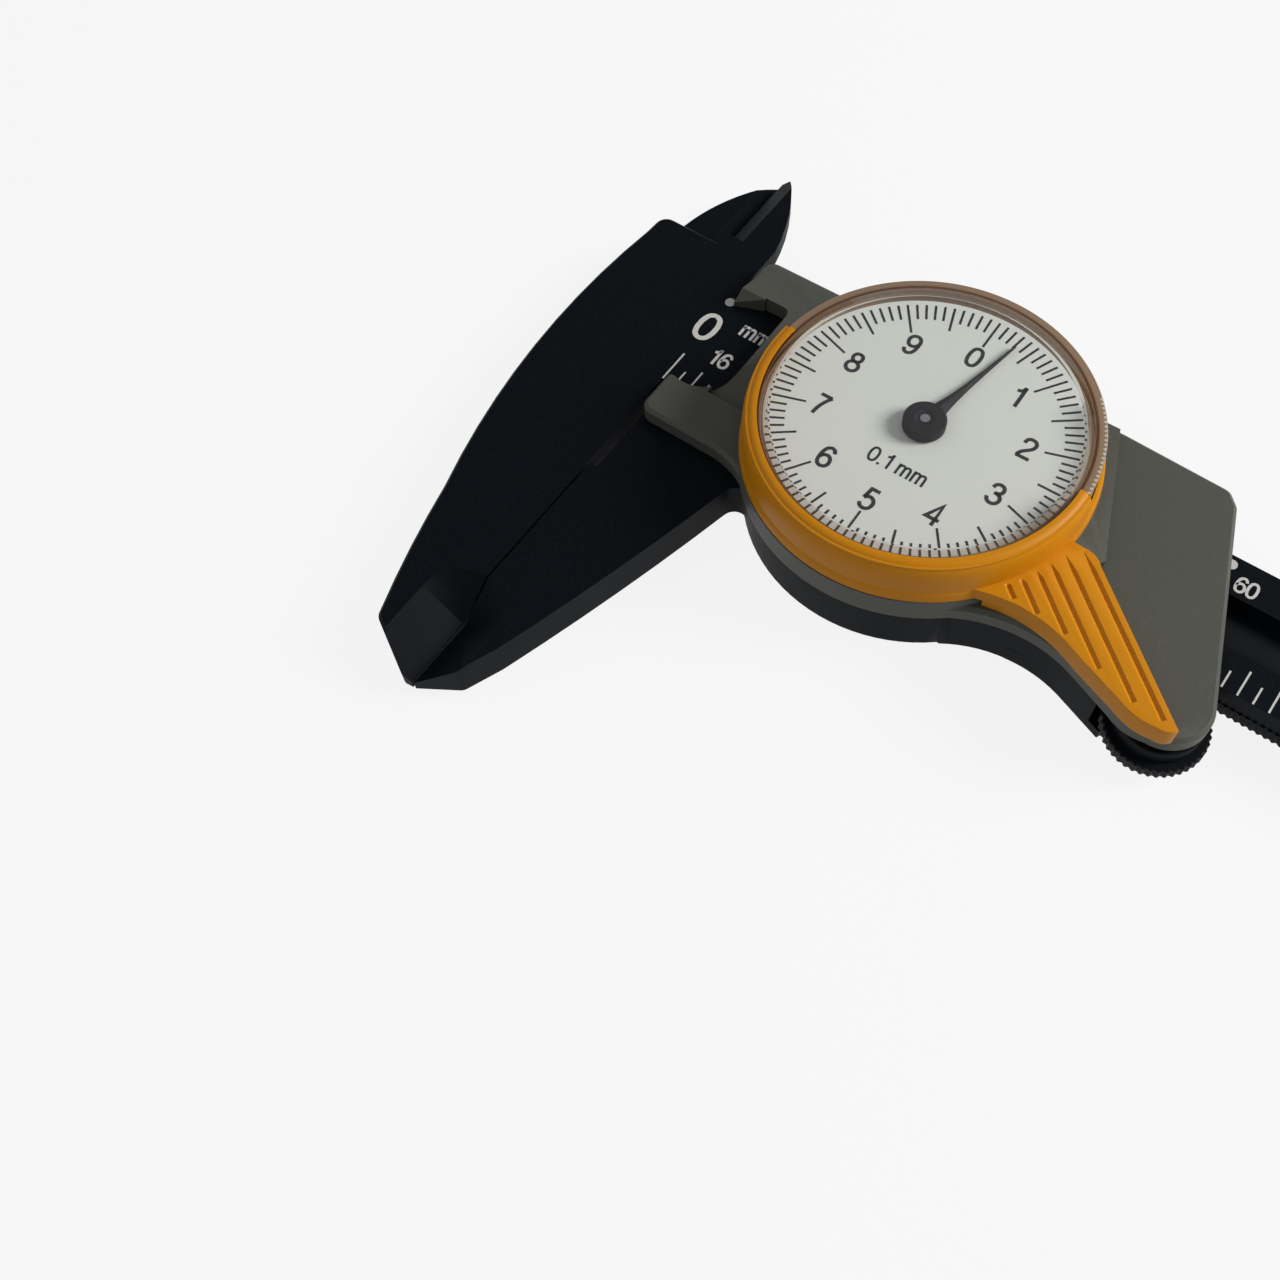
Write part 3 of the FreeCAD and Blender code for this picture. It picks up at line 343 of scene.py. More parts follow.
def makeRimFinish():
    # the thick rim of the crystal gathers light: a painted tan with faint turned bands, standing in for the
    # orange guard refracted through the clear rim, a painted dark shade line round its top and a clear
    # shoulder inside that line
    material, tree, shader = newMaterial("crystalRim")
    spot = addNode(tree, "ShaderNodeSeparateXYZ")
    tree.links.new(objectSpot(tree), spot.inputs[0])
    east = mathNode(tree, "SUBTRACT", spot.outputs["X"], place["face"][0] * mm)
    north = mathNode(tree, "SUBTRACT", spot.outputs["Y"], place["face"][1] * mm)
    radius = mathNode(tree, "SQRT", mathNode(tree, "ADD", mathNode(tree, "MULTIPLY", east, east),
                                             mathNode(tree, "MULTIPLY", north, north)))
    shoulderLevel = (place["faceTop"] + rimLook["shoulderLow"]) * mm
    high = mathNode(tree, "GREATER_THAN", spot.outputs["Z"], shoulderLevel)
    # a thin painted shade line round the top of the rim, near its inner corner
    away = mathNode(tree, "ABSOLUTE", mathNode(tree, "SUBTRACT", radius, rimLook["shadeLineRadius"] * mm))
    line = mathNode(tree, "MULTIPLY", high,
                    mathNode(tree, "LESS_THAN", away, rimLook["shadeLineWidth"] * mm))
    across = vectorNode(tree, mathNode(tree, "MULTIPLY", spot.outputs["Z"], rimLook["bandStretch"]),
                        mathNode(tree, "MULTIPLY", radius, rimLook["bandStretch"]), 0.0)
    bands = noiseNode(tree, across, rimLook["bandScale"], rimLook["bandDetail"], noise_dimensions="2D")
    bands = rangeNode(tree, bands, rimLook["bandFrom"], rimLook["bandTo"])
    # painted refraction of the orange guard in tan and paler bands, with the painted shade line laid over
    # it
    colour = mixColours(tree, bands, rimLook["colour"], rimLook["pale"])
    tree.links.new(mixColours(tree, line, colour, rimLook["shadeLineColour"]), shader.inputs["Base Color"])
    addTouch(tree, shader, rimLook["roughness"], rimLook["smudge"])
    shoulder = mathNode(tree, "MULTIPLY", high,
                        mathNode(tree, "LESS_THAN", radius, rimLook["shoulderRadius"] * mm))
    clearer = mathNode(tree, "MULTIPLY", shoulder, rimLook["alpha"] - rimLook["shoulderAlpha"])
    solid = mathNode(tree, "MULTIPLY", mathNode(tree, "SUBTRACT", rimLook["alpha"], clearer),
                     mathNode(tree, "SUBTRACT", 1.0, bearsLight(tree)))
    tree.links.new(solid, shader.inputs["Alpha"])
    return material


finishes = {name: makePlastic(name, values) for name, values in plastics.items()}
finishes.update({name: makeMetal(name, values) for name, values in metals.items()})
finishes["clearCrystal"] = makeCrystalFinish()
finishes["crystalRim"] = makeRimFinish()
print("finishes made:", len(finishes))


# mesh helpers

def addPiece(name, mesh, body, slotName, *finishNames):
    for finishName in finishNames:
        mesh.materials.append(finishes[finishName])
    piece = bpy.data.objects.new(name, mesh)
    scene.collection.objects.link(piece)
    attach(piece, body)
    return piece


def smoothMesh(mesh, sharpDegrees):
    for polygon in mesh.polygons:
        polygon.use_smooth = True
    mesh.set_sharp_from_angle(angle=math.radians(sharpDegrees))
    return mesh


def meshFromWork(name, work):
    mesh = bpy.data.meshes.new(name)
    work.to_mesh(mesh)
    work.free()
    return mesh


def mergeMeshes(name, meshes):
    work = bmesh.new()
    for mesh in meshes:
        work.from_mesh(mesh)
    return meshFromWork(name, work)


def addRows(work, rows):
    return [[work.verts.new(Vector(point) * mm) for point in row] for row in rows]


def knit(work, grid, closedRing=True, leaveOut=None):
    # joins each row of corners to the next; the last joins the first again
    for row, following in zip(grid, grid[1:] + grid[:1]):
        if row is leaveOut:
            continue
        count = len(row)
        for index in range(count if closedRing else count - 1):
            after = (index + 1) % count
            work.faces.new((row[index], row[after], following[after], following[index]))
    if not closedRing:
        work.faces.new([row[0] for row in grid])
        work.faces.new([row[-1] for row in grid])


def meshFromRings(name, rings, closedRing=True, sharpDegrees=30):
    # rings round an axis, or open rows that are capped at both ends
    work = bmesh.new()
    knit(work, addRows(work, rings), closedRing)
    bmesh.ops.recalc_face_normals(work, faces=work.faces)
    return smoothMesh(meshFromWork(name, work), sharpDegrees)


def circlePoints(centre, radius, height, count, fromAngle=0.0, sweep=360.0):
    steps = count if sweep >= 360.0 else count + 1
    points = []
    for step in range(steps):
        angle = math.radians(fromAngle + sweep * step / count)
        points.append((centre[0] + radius * math.cos(angle), centre[1] + radius * math.sin(angle), height))
    return points


def headingOf(degrees):
    # a level direction and the one on its left
    ahead = Vector((math.cos(math.radians(degrees)), math.sin(math.radians(degrees)), 0))
    return ahead, Vector((-ahead.y, ahead.x, 0))


# CAD pieces: merged copies with soft shading, so the round forms read as round

softEdges = {"mergeDistance": 1e-6, "flatDegrees": 0.4, "sharpDegrees": 22, "bevelDegrees": 35,
             "bevelSegments": 2}
# finish, slot and width of the soft edge
cadLook = {
    "beam_with_fixed_jaw": ("blackPlastic", "black_plastic", 0.10),
    "end_stop": ("blackPlastic", "black_plastic", 0.12),
    "slide_with_movable_jaw": ("blackPlastic", "black_plastic", 0.12),
    "top_cover": ("greyPlastic", "grey_plastic", 0.10),
    "dial_plate": ("dialPaint", "dial_white", 0.0),
    "dial_carrier": ("greyPlastic", "grey_plastic", 0.0),
}
plainLook = {
    "measuring_rack": "groundSteel", "end_stop_screw": "groundSteel", "friction_ring": "turnedBrass",
    "upper_bush": "turnedBrass", "lower_bush": "turnedBrass", "bearing_bridge": "turnedBrass",
    "bridge_screws": "groundSteel", "cover_screws": "groundSteel", "depth_rod": "groundSteel",
    "depth_rod_rivets": "groundSteel", "gib_spring": "springSteel", "thumb_wheel_axle": "groundSteel",
    "pinion_staff": "groundSteel", "pinion": "turnedBrass",
}


def finishCadNode(nodeName, finish, slotName, edgeWidth):
    source = nodes[nodeName]
    mesh = source.data.copy()
    work = bmesh.new()
    work.from_mesh(mesh)
    bmesh.ops.remove_doubles(work, verts=work.verts, dist=softEdges["mergeDistance"])
    bmesh.ops.dissolve_limit(work, angle_limit=math.radians(softEdges["flatDegrees"]), verts=work.verts,
                             edges=work.edges, use_dissolve_boundaries=False)
    work.to_mesh(mesh)
    work.free()
    smoothMesh(mesh, softEdges["sharpDegrees"])
    mesh.materials.clear()
    piece = addPiece(nodeName + "_shown", mesh, source["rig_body"], slotName, finish)
    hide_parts(nodeName)
    if edgeWidth:
        bevel = piece.modifiers.new("softEdges", "BEVEL")
        bevel.width = edgeWidth * mm
        bevel.segments = softEdges["bevelSegments"]
        bevel.limit_method = "ANGLE"
        bevel.angle_limit = math.radians(softEdges["bevelDegrees"])
        bevel.harden_normals = True


for nodeName, (finish, slotName, edgeWidth) in cadLook.items():
    finishCadNode(nodeName, finish, slotName, edgeWidth)
for nodeName, finish in plainLook.items():
    nodes[nodeName].data.materials.clear()
    nodes[nodeName].data.materials.append(finishes[finish])
print("CAD pieces finished")


# crystal: a clear top in a thick rim; radius and height of each ring

crystalShape = {
    "count": 180, "sharpDegrees": 30,
    "outside": [(16.75, 7.9), (17.65, 7.9), (17.65, 12.3), (17.52, 12.46), (16.25, 12.55), (16.08, 12.62),
                (16.0, 12.82), (15.85, 12.9), (15.6, 12.9)],
    "inside": [(15.4, 12.25), (15.95, 12.2), (16.15, 11.9), (16.22, 10.7), (16.75, 10.7)],
}


def makeCrystal():
    rings = [circlePoints(place["face"], radius, height, crystalShape["count"])
             for radius, height in crystalShape["outside"] + crystalShape["inside"]]
    work = bmesh.new()
    grid = addRows(work, rings)
    innermost = len(crystalShape["outside"])
    topRow, underRow = grid[innermost - 1], grid[innermost]
    knit(work, grid, leaveOut=topRow)
    for face in work.faces:
        face.material_index = 1
    for row in (topRow, underRow):
        work.faces.new(row).material_index = 0
    bmesh.ops.recalc_face_normals(work, faces=work.faces)
    mesh = smoothMesh(meshFromWork("crystalCap", work), crystalShape["sharpDegrees"])
    piece = addPiece("crystalCap", mesh, "dial", "clear_crystal", "clearCrystal", "crystalRim")
    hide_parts("crystal")


makeCrystal()


# pointer: a dished hub and a blade with a ridge

needle = {
    "angle": 79.2, "hubCount": 96, "ridgeDegrees": 20,
    "hub": [(0.62, 10.7), (2.12, 10.7), (2.2, 10.78), (2.2, 11.72), (2.06, 11.9), (1.86, 11.95),
            (1.0, 11.95), (0.86, 11.82), (0.62, 11.78)],
    # distance from the staff, half width, level of the ridge
    "blade": [(1.5, 0.86, 11.85), (2.6, 0.68, 11.75), (4.2, 0.46, 11.55), (6.5, 0.3, 11.35),
              (9.5, 0.2, 11.2), (13.9, 0.11, 11.1)],
    "bladeLow": 10.85,
    # corners of the blade's section, as shares of its half width and its height
    "section": [(1, 0.62), (0.15, 1.0), (-0.15, 1.0), (-1, 0.62), (-1, 0.0), (1, 0.0)],
}


def makePointer():
    hub = meshFromRings("hub", [circlePoints(place["face"], radius, height, needle["hubCount"])
                                for radius, height in needle["hub"]])
    ahead, side = headingOf(needle["angle"])
    middle = Vector((*place["face"], 0))
    rows = []
    for across, over in needle["section"]:
        row = []
        for reach, half, ridge in needle["blade"]:
            height = needle["bladeLow"] + (ridge - needle["bladeLow"]) * over
            row.append(middle + ahead * reach + side * half * across + Vector((0, 0, height)))
        rows.append(row)
    blade = meshFromRings("blade", rows, closedRing=False, sharpDegrees=needle["ridgeDegrees"])
    piece = addPiece("pointerNeedle", mergeMeshes("pointerNeedle", [hub, blade]),
                     nodes["pointer"]["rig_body"], "black_plastic", "pointerPlastic")
    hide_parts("pointer")


makePointer()


# thumb wheel and its rack: shallow knurls in step with each other

knurl = {
    "wheelCentre": (61.9, -12.213), "teeth": 42, "tipRadius": 5.2, "depth": 0.2, "low": 0.5, "high": 2.0,
    "webRadius": 4.6, "lowEdge": 0.12, "highEdge": 0.15, "stepRadius": 4.26, "stepSeat": 0.02,
    "stepTop": 3.9, "stepEdge": 0.12, "dishRadius": 3.1, "dishFloor": 3.55, "boreRadius": 1.05,
    "pitch": 0.75, "rackTip": -7.2, "rackBack": -6.35, "rackLow": 0.45, "rackHigh": 2.1,
    "rackLowEdge": 0.06, "rackHighEdge": 0.08, "rackFrom": 56.275, "rackTeeth": 215, "stepsPerTooth": 8,
}


def knurlRing(shrink, height):
    # a waved ring with its gap, not its crest, towards the rack
    points = []
    count = knurl["teeth"] * knurl["stepsPerTooth"]
    for step in range(count):
        angle = math.pi / 2 + 2 * math.pi * step / count
        wave = math.cos(angle * knurl["teeth"] - math.pi / 2 * knurl["teeth"] - math.pi)
        radius = knurl["tipRadius"] - knurl["depth"] / 2 * (1 - wave) - shrink
        points.append((knurl["wheelCentre"][0] + radius * math.cos(angle),
                       knurl["wheelCentre"][1] + radius * math.sin(angle), height))
    return points


def plainRing(radius, height):
    return circlePoints(knurl["wheelCentre"], radius, height, knurl["teeth"] * knurl["stepsPerTooth"], 90.0)


def makeWheel():
    low, high, top = knurl["low"], knurl["high"], knurl["stepTop"]
    rings = [
        plainRing(knurl["boreRadius"], low), plainRing(knurl["webRadius"], low),
        knurlRing(knurl["lowEdge"], low), knurlRing(0.0, low + knurl["lowEdge"]),
        knurlRing(0.0, high - knurl["highEdge"]), knurlRing(knurl["highEdge"], high),
        plainRing(knurl["webRadius"], high), plainRing(knurl["stepRadius"], high - knurl["stepSeat"]),
        plainRing(knurl["stepRadius"], top - knurl["stepEdge"]),
        plainRing(knurl["stepRadius"] - knurl["stepEdge"], top), plainRing(knurl["dishRadius"], top),
        plainRing(knurl["dishRadius"], knurl["dishFloor"]),
        plainRing(knurl["boreRadius"], knurl["dishFloor"]),
    ]
    piece = addPiece("thumbWheelKnurled", meshFromRings("thumbWheelKnurled", rings), "roller",
                     "wheel_plastic", "wheelPlastic")
    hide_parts("thumb_wheel")


def makeRack():
    low, high = knurl["rackLow"], knurl["rackHigh"]
    rows = []
    for height, shrink in ((low, knurl["rackLowEdge"]), (low + knurl["rackLowEdge"], 0.0),
                           (high - knurl["rackHighEdge"], 0.0), (high, knurl["rackHighEdge"])):
        row = []
        for step in range(knurl["rackTeeth"] * knurl["stepsPerTooth"] + 1):
            x = knurl["rackFrom"] + knurl["pitch"] * step / knurl["stepsPerTooth"]
            wave = math.cos(2 * math.pi * (x - knurl["wheelCentre"][0]) / knurl["pitch"])
            row.append((x, knurl["rackTip"] + knurl["depth"] / 2 * (1 - wave) + shrink, height))
        rows.append(row)
    for height in (high, low):
        rows.append([(point[0], knurl["rackBack"], height) for point in rows[0]])
    mesh = meshFromRings("thumbRackKnurled", rows, closedRing=False)
    piece = addPiece("thumbRackKnurled", mesh, "beam", "black_plastic", "blackPlastic")
    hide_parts("thumb_rack")


makeWheel()
makeRack()


# guard: a ring with its high wall, and a rest with grooves for the thumb

guardShape = {
    "count": 200, "sharpDegrees": 28, "arcSteps": 14, "levelSlack": 0.01,
    "ring": [(17.77, 7.525), (18.4, 7.525), (18.4, 7.83), (18.32, 8.3), (18.22, 8.8), (18.1, 8.95),
             (17.77, 9.0)],
    "wall": [(17.78, 8.7), (18.2, 8.7), (18.18, 10.4), (18.1, 11.4), (17.92, 12.1), (17.62, 12.58),
             (17.3, 12.8), (17.0, 12.88), (16.66, 12.88), (16.66, 12.72), (17.78, 12.6)],
    "wallFrom": 174.0, "wallSweep": 188.0,
    # corners of the thumb rest from the dial's centre; a third number is the radius of the arc to the
    # next corner, with its centre on the left of the way, or on the right where it is negative
    "rest": [(12.9, -12.6, -18.0), (17.9, -11.6, -15.7), (24.8, -13.2), (29.8, -15.0, 6.5),
             (33.9, -15.6, 1.7), (35.6, -14.85), (21.9, -3.5, 2.6), (19.6, -2.5), (17.9, -2.4, -18.085)],
    "restLow": 7.52, "restTop": 9.1, "restSoft": 0.45, "softSegments": 4, "softBeyond": 18.3,
    "foot": [(14.3, -12.1, -18.0), (17.9, -11.6, -15.7), (24.8, -13.2), (29.8, -15.0, 6.5),
             (33.9, -15.6, 1.7), (35.6, -14.85), (21.9, -3.5), (21.0, -3.3), (17.3, -8.1), (16.7, -8.75)],
    "footLow": 6.52, "footTop": 7.56,
    # each groove's place across the heading, and its two ends along it
    "heading": -39.6, "grooveHalf": 0.4, "grooveDepth": 0.28, "grooveOver": 0.05, "grooveRise": 0.12,
    "grooves": [(10.35, 17.0, 35.6), (8.57, 16.9, 33.2), (6.87, 17.3, 29.2), (5.3, 17.9, 25.0),
                (3.6, 18.3, 22.3), (2.1, 18.4, 20.2)],
}


def arcOutline(corners):
    points = []
    steps = guardShape["arcSteps"]
    for corner, following in zip(corners, corners[1:] + corners[:1]):
        begin, end = Vector(corner[:2]), Vector(following[:2])
        points.append(begin)
        if len(corner) < 3:
            continue
        along = end - begin
        toCentre = Vector((-along.y, along.x)).normalized() * math.copysign(1.0, corner[2])
        centre = (begin + end) / 2 + toCentre * math.sqrt(corner[2] ** 2 - along.length_squared / 4)
        spoke = begin - centre
        turn = spoke.angle_signed(end - centre)
        for step in range(1, steps):
            angle = -turn * step / steps
            points.append(centre + Vector((spoke.x * math.cos(angle) - spoke.y * math.sin(angle),
                                           spoke.x * math.sin(angle) + spoke.y * math.cos(angle))))
    return points


def standingSolid(corners, low, high):
    centre = Vector(place["face"])
    rows = [[(*(centre + point), height) for point in arcOutline(corners)] for height in (low, high)]
    work = bmesh.new()
    under, over = addRows(work, rows)
    for index in range(len(under)):
        after = (index + 1) % len(under)
        work.faces.new((under[index], under[after], over[after], over[index]))
    work.faces.new(under)
    work.faces.new(over)
    bmesh.ops.recalc_face_normals(work, faces=work.faces)
    return work


def grooveHelpers():
    # a long wedge for each groove, whose floor rises to the surface at its inner end
    ahead, side = headingOf(guardShape["heading"])
    top = Vector((*place["face"], guardShape["restTop"]))
    half, depth, over = guardShape["grooveHalf"], guardShape["grooveDepth"], guardShape["grooveOver"]
    helpers = []
    for number, (across, start, stop) in enumerate(guardShape["grooves"]):
        rows = []
        for offset, level in ((-half, over), (0.0, -depth), (half, over)):
            line = top + side * (across + offset) + Vector((0, 0, level))
            row = []
            for share, lift in ((0.0, depth), (guardShape["grooveRise"], 0.0), (1.0, 0.0)):
                run = start + (stop - start) * share
                row.append(line + ahead * run + Vector((0, 0, lift if level < 0 else 0.0)))
            rows.append(row)
        name = f"groove{number}"
        helper = bpy.data.objects.new(name, meshFromRings(name, rows, closedRing=False))
        scene.collection.objects.link(helper)
        helpers.append(helper)
    return helpers


def cutAway(piece, helpers):
    # each helper is gone after its cut
    for helper in helpers:
        change = piece.modifiers.new("groove", "BOOLEAN")
        change.operation = "DIFFERENCE"
        change.solver = "EXACT"
        change.object = helper
        bpy.context.view_layer.update()
        graph = bpy.context.evaluated_depsgraph_get()
        made = bpy.data.meshes.new_from_object(piece.evaluated_get(graph))
        piece.modifiers.remove(change)
        piece.data = made
        bpy.data.objects.remove(helper)


def makeRest():
    # the thumb rest with its soft upper edge, then its six grooves
    top = (guardShape["restTop"] - guardShape["levelSlack"]) * mm
    work = standingSolid(guardShape["rest"], guardShape["restLow"], guardShape["restTop"])
    centre = Vector(place["face"]) * mm
    free = []
    for edge in work.edges:
        high = all(vert.co.z > top for vert in edge.verts)
        outside = any((vert.co.xy - centre).length > guardShape["softBeyond"] * mm for vert in edge.verts)
        if high and outside:
            free.append(edge)
    bmesh.ops.bevel(work, geom=free, offset=guardShape["restSoft"] * mm, profile=0.5, affect="EDGES",
                    segments=guardShape["softSegments"], clamp_overlap=True)
    bmesh.ops.recalc_face_normals(work, faces=work.faces)
    piece = bpy.data.objects.new("dialGuardRibbed", meshFromWork("rest", work))
    scene.collection.objects.link(piece)
    cutAway(piece, grooveHelpers())
    return piece


def makeGuard():
    piece = makeRest()
    ring = meshFromRings("ring", [circlePoints(place["face"], radius, height, guardShape["count"])
                                  for radius, height in guardShape["ring"]])
    wall = meshFromRings("wall", [
        circlePoints(place["face"], radius, height, guardShape["count"], guardShape["wallFrom"],
                     guardShape["wallSweep"]) for radius, height in guardShape["wall"]], closedRing=False)
    foot = standingSolid(guardShape["foot"], guardShape["footLow"], guardShape["footTop"])
    mesh = mergeMeshes("dialGuardRibbed", [piece.data, ring, wall, meshFromWork("foot", foot)])
    mesh.materials.append(finishes["orangePlastic"])
    piece.data = mesh
    for polygon in mesh.polygons:
        polygon.material_index = 0
    smoothMesh(mesh, guardShape["sharpDegrees"])
    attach(piece, "slide")
    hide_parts("dial_guard")


makeGuard()
print("crystal, pointer, wheel, rack and guard made")


# the housing's wall beside the rear cover screw, on both sides of the point where its two arcs meet

skirt = {"middle": 48.2, "crestY": -12.38, "leftRadius": 14.5, "rightRadius": 14.0, "fromX": 46.2,
         "toX": 50.4, "steps": 16, "low": -1.58, "high": 0.5, "thickness": 0.34}


def makeSkirt():
    outer = []
    for step in range(skirt["steps"] + 1):
        x = skirt["fromX"] + (skirt["toX"] - skirt["fromX"]) * step / skirt["steps"]
        radius = skirt["leftRadius"] if x < skirt["middle"] else skirt["rightRadius"]
        outer.append((x, skirt["crestY"] - radius + math.sqrt(radius ** 2 - (x - skirt["middle"]) ** 2)))
    rows = []
    for height, inward in ((skirt["low"], 0.0), (skirt["high"], 0.0), (skirt["high"], skirt["thickness"]),
                           (skirt["low"], skirt["thickness"])):
        rows.append([(x, y + inward, height) for x, y in outer])
    addPiece("housingSkirt", meshFromRings("housingSkirt", rows, closedRing=False), "slide",
             "black_plastic", "blackPlastic")


makeSkirt()


# geometry node trees for what repeats

def newGeometryTree(name, *sizes):
    # inputs: how many, the sizes by name, and the finish; with the points and each one's number
    tree = bpy.data.node_groups.new(name, "GeometryNodeTree")
    kinds = {"Geometry": "Geometry", "count": "Int", **{label: "Float" for label in sizes},
             "finish": "Material"}
    for label, kind in kinds.items():
        tree.interface.new_socket(name=label, in_out="INPUT", socket_type="NodeSocket" + kind)
    tree.interface.new_socket(name="Geometry", in_out="OUTPUT", socket_type="NodeSocketGeometry")
    entry = addNode(tree, "NodeGroupInput")
    points = addNode(tree, "GeometryNodePoints")
    tree.links.new(entry.outputs["count"], points.inputs["Count"])
    index = addNode(tree, "GeometryNodeInputIndex").outputs[0]
    return tree, entry.outputs, points.outputs[0], index


def everyNth(tree, index, step, whenTrue, whenFalse):
    hit = mathNode(tree, "LESS_THAN", mathNode(tree, "MODULO", index, step), 0.5)
    switch = addNode(tree, "GeometryNodeSwitch", input_type="FLOAT")
    tree.links.new(hit, switch.inputs["Switch"])
    feed(tree, switch.inputs["False"], whenFalse)
    feed(tree, switch.inputs["True"], whenTrue)
    return switch.outputs[0]


def ringSpot(tree, angle, radius):
    return vectorNode(tree, mathNode(tree, "MULTIPLY", mathNode(tree, "COSINE", angle), radius),
                      mathNode(tree, "MULTIPLY", mathNode(tree, "SINE", angle), radius), 0.0)


shapeSides = {"dot": 28, "rib": 12}


def roundShape(tree, sides, radius, height):
    shape = addNode(tree, "GeometryNodeMeshCylinder")
    shape.inputs["Vertices"].default_value = sides
    tree.links.new(radius, shape.inputs["Radius"])
    tree.links.new(height, shape.inputs["Depth"])
    return shape.outputs["Mesh"]


def stampPieces(tree, points, spot, shape, finish, angle=None, scale=None):
    # every point goes to its spot and takes a copy of the shape, turned and scaled there
    moved = addNode(tree, "GeometryNodeSetPosition")
    tree.links.new(points, moved.inputs["Geometry"])
    tree.links.new(spot, moved.inputs["Position"])
    stamp = addNode(tree, "GeometryNodeInstanceOnPoints")
    tree.links.new(moved.outputs[0], stamp.inputs["Points"])
    tree.links.new(shape, stamp.inputs["Instance"])
    if angle is not None:
        euler = addNode(tree, "FunctionNodeEulerToRotation")
        tree.links.new(vectorNode(tree, 0.0, 0.0, angle), euler.inputs[0])
        tree.links.new(euler.outputs[0], stamp.inputs["Rotation"])
    if scale is not None:
        tree.links.new(scale, stamp.inputs["Scale"])
    real = addNode(tree, "GeometryNodeRealizeInstances")
    tree.links.new(stamp.outputs[0], real.inputs[0])
    paint = addNode(tree, "GeometryNodeSetMaterial")
    tree.links.new(real.outputs[0], paint.inputs["Geometry"])
    tree.links.new(finish, paint.inputs["Material"])
    tree.links.new(paint.outputs[0], addNode(tree, "NodeGroupOutput").inputs[0])
    return tree


def makeDialTicks():
    # a ring of marks whose length depends on the count: units, fives and tens
    tree, entry, points, index = newGeometryTree(
        "dialTicks", "outerRadius", "unitLength", "fiveLength", "tenLength", "markWidth", "markHeight",
        "startAngle")
    share = mathNode(tree, "DIVIDE", 2 * math.pi, entry["count"])
    angle = mathNode(tree, "ADD", mathNode(tree, "MULTIPLY", index, share), entry["startAngle"])
    length = everyNth(tree, index, 5.0, entry["fiveLength"], entry["unitLength"])
    length = everyNth(tree, index, 10.0, entry["tenLength"], length)
    half = mathNode(tree, "MULTIPLY", length, 0.5)
    spot = ringSpot(tree, angle, mathNode(tree, "SUBTRACT", entry["outerRadius"], half))
    cube = addNode(tree, "GeometryNodeMeshCube").outputs["Mesh"]
    scale = vectorNode(tree, length, entry["markWidth"], entry["markHeight"])
    return stampPieces(tree, points, spot, cube, entry["finish"], angle, scale)


def makeBeamLines():
    # marks in a row from a common base line, longer at every second and every sixteenth
    tree, entry, points, index = newGeometryTree(
        "beamLines", "pitch", "baseY", "shortLength", "middleLength", "longLength", "markWidth",
        "markHeight")
    length = everyNth(tree, index, 2.0, entry["middleLength"], entry["shortLength"])
    length = everyNth(tree, index, 16.0, entry["longLength"], length)
    half = mathNode(tree, "MULTIPLY", length, 0.5)
    spot = vectorNode(tree, mathNode(tree, "MULTIPLY", index, entry["pitch"]),
                      mathNode(tree, "ADD", entry["baseY"], half), 0.0)
    cube = addNode(tree, "GeometryNodeMeshCube").outputs["Mesh"]
    scale = vectorNode(tree, entry["markWidth"], length, entry["markHeight"])
    return stampPieces(tree, points, spot, cube, entry["finish"], None, scale)


def makeDotRow():
    tree, entry, points, index = newGeometryTree("dotRow", "pitch", "rowY", "dotRadius", "dotHeight")
    spot = vectorNode(tree, mathNode(tree, "MULTIPLY", index, entry["pitch"]), entry["rowY"], 0.0)
    dot = roundShape(tree, shapeSides["dot"], entry["dotRadius"], entry["dotHeight"])
    return stampPieces(tree, points, spot, dot, entry["finish"])


def makeRibArc():
    # upright round ribs along part of a rim
    tree, entry, points, index = newGeometryTree(
        "ribArc", "rimRadius", "startAngle", "endAngle", "ribRadius", "ribHeight")
    span = mathNode(tree, "SUBTRACT", entry["endAngle"], entry["startAngle"])
    share = mathNode(tree, "DIVIDE", index, mathNode(tree, "SUBTRACT", entry["count"], 1.0))
    angle = mathNode(tree, "ADD", mathNode(tree, "MULTIPLY", share, span), entry["startAngle"])
    rib = roundShape(tree, shapeSides["rib"], entry["ribRadius"], entry["ribHeight"])
    return stampPieces(tree, points, ringSpot(tree, angle, entry["rimRadius"]), rib, entry["finish"], angle)


def socketValue(label, values, finish):
    # lengths are written in millimetres and angles in degrees
    if label == "finish":
        return finishes[finish]
    if label == "count":
        return values[label]
    return math.radians(values[label]) if label.endswith("Angle") else values[label] * mm


def growPiece(name, tree, values, finish, offset, body, spin=0.0):
    # runs the tree once and keeps its result as a plain mesh, with its place in it
    holder = bpy.data.objects.new(name, bpy.data.meshes.new(name))
    scene.collection.objects.link(holder)
    modifier = holder.modifiers.new(name, "NODES")
    modifier.node_group = tree
    for item in tree.interface.items_tree:
        if item.in_out == "INPUT" and item.name != "Geometry":
            modifier[item.identifier] = socketValue(item.name, values, finish)
    bpy.context.view_layer.update()
    graph = bpy.context.evaluated_depsgraph_get()
    made = bpy.data.meshes.new_from_object(holder.evaluated_get(graph))
    holder.modifiers.remove(modifier)
    made.transform(Matrix.Translation(Vector(offset) * mm) @ Matrix.Rotation(spin, 4, "Z"))
    holder.data = made
    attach(holder, body)


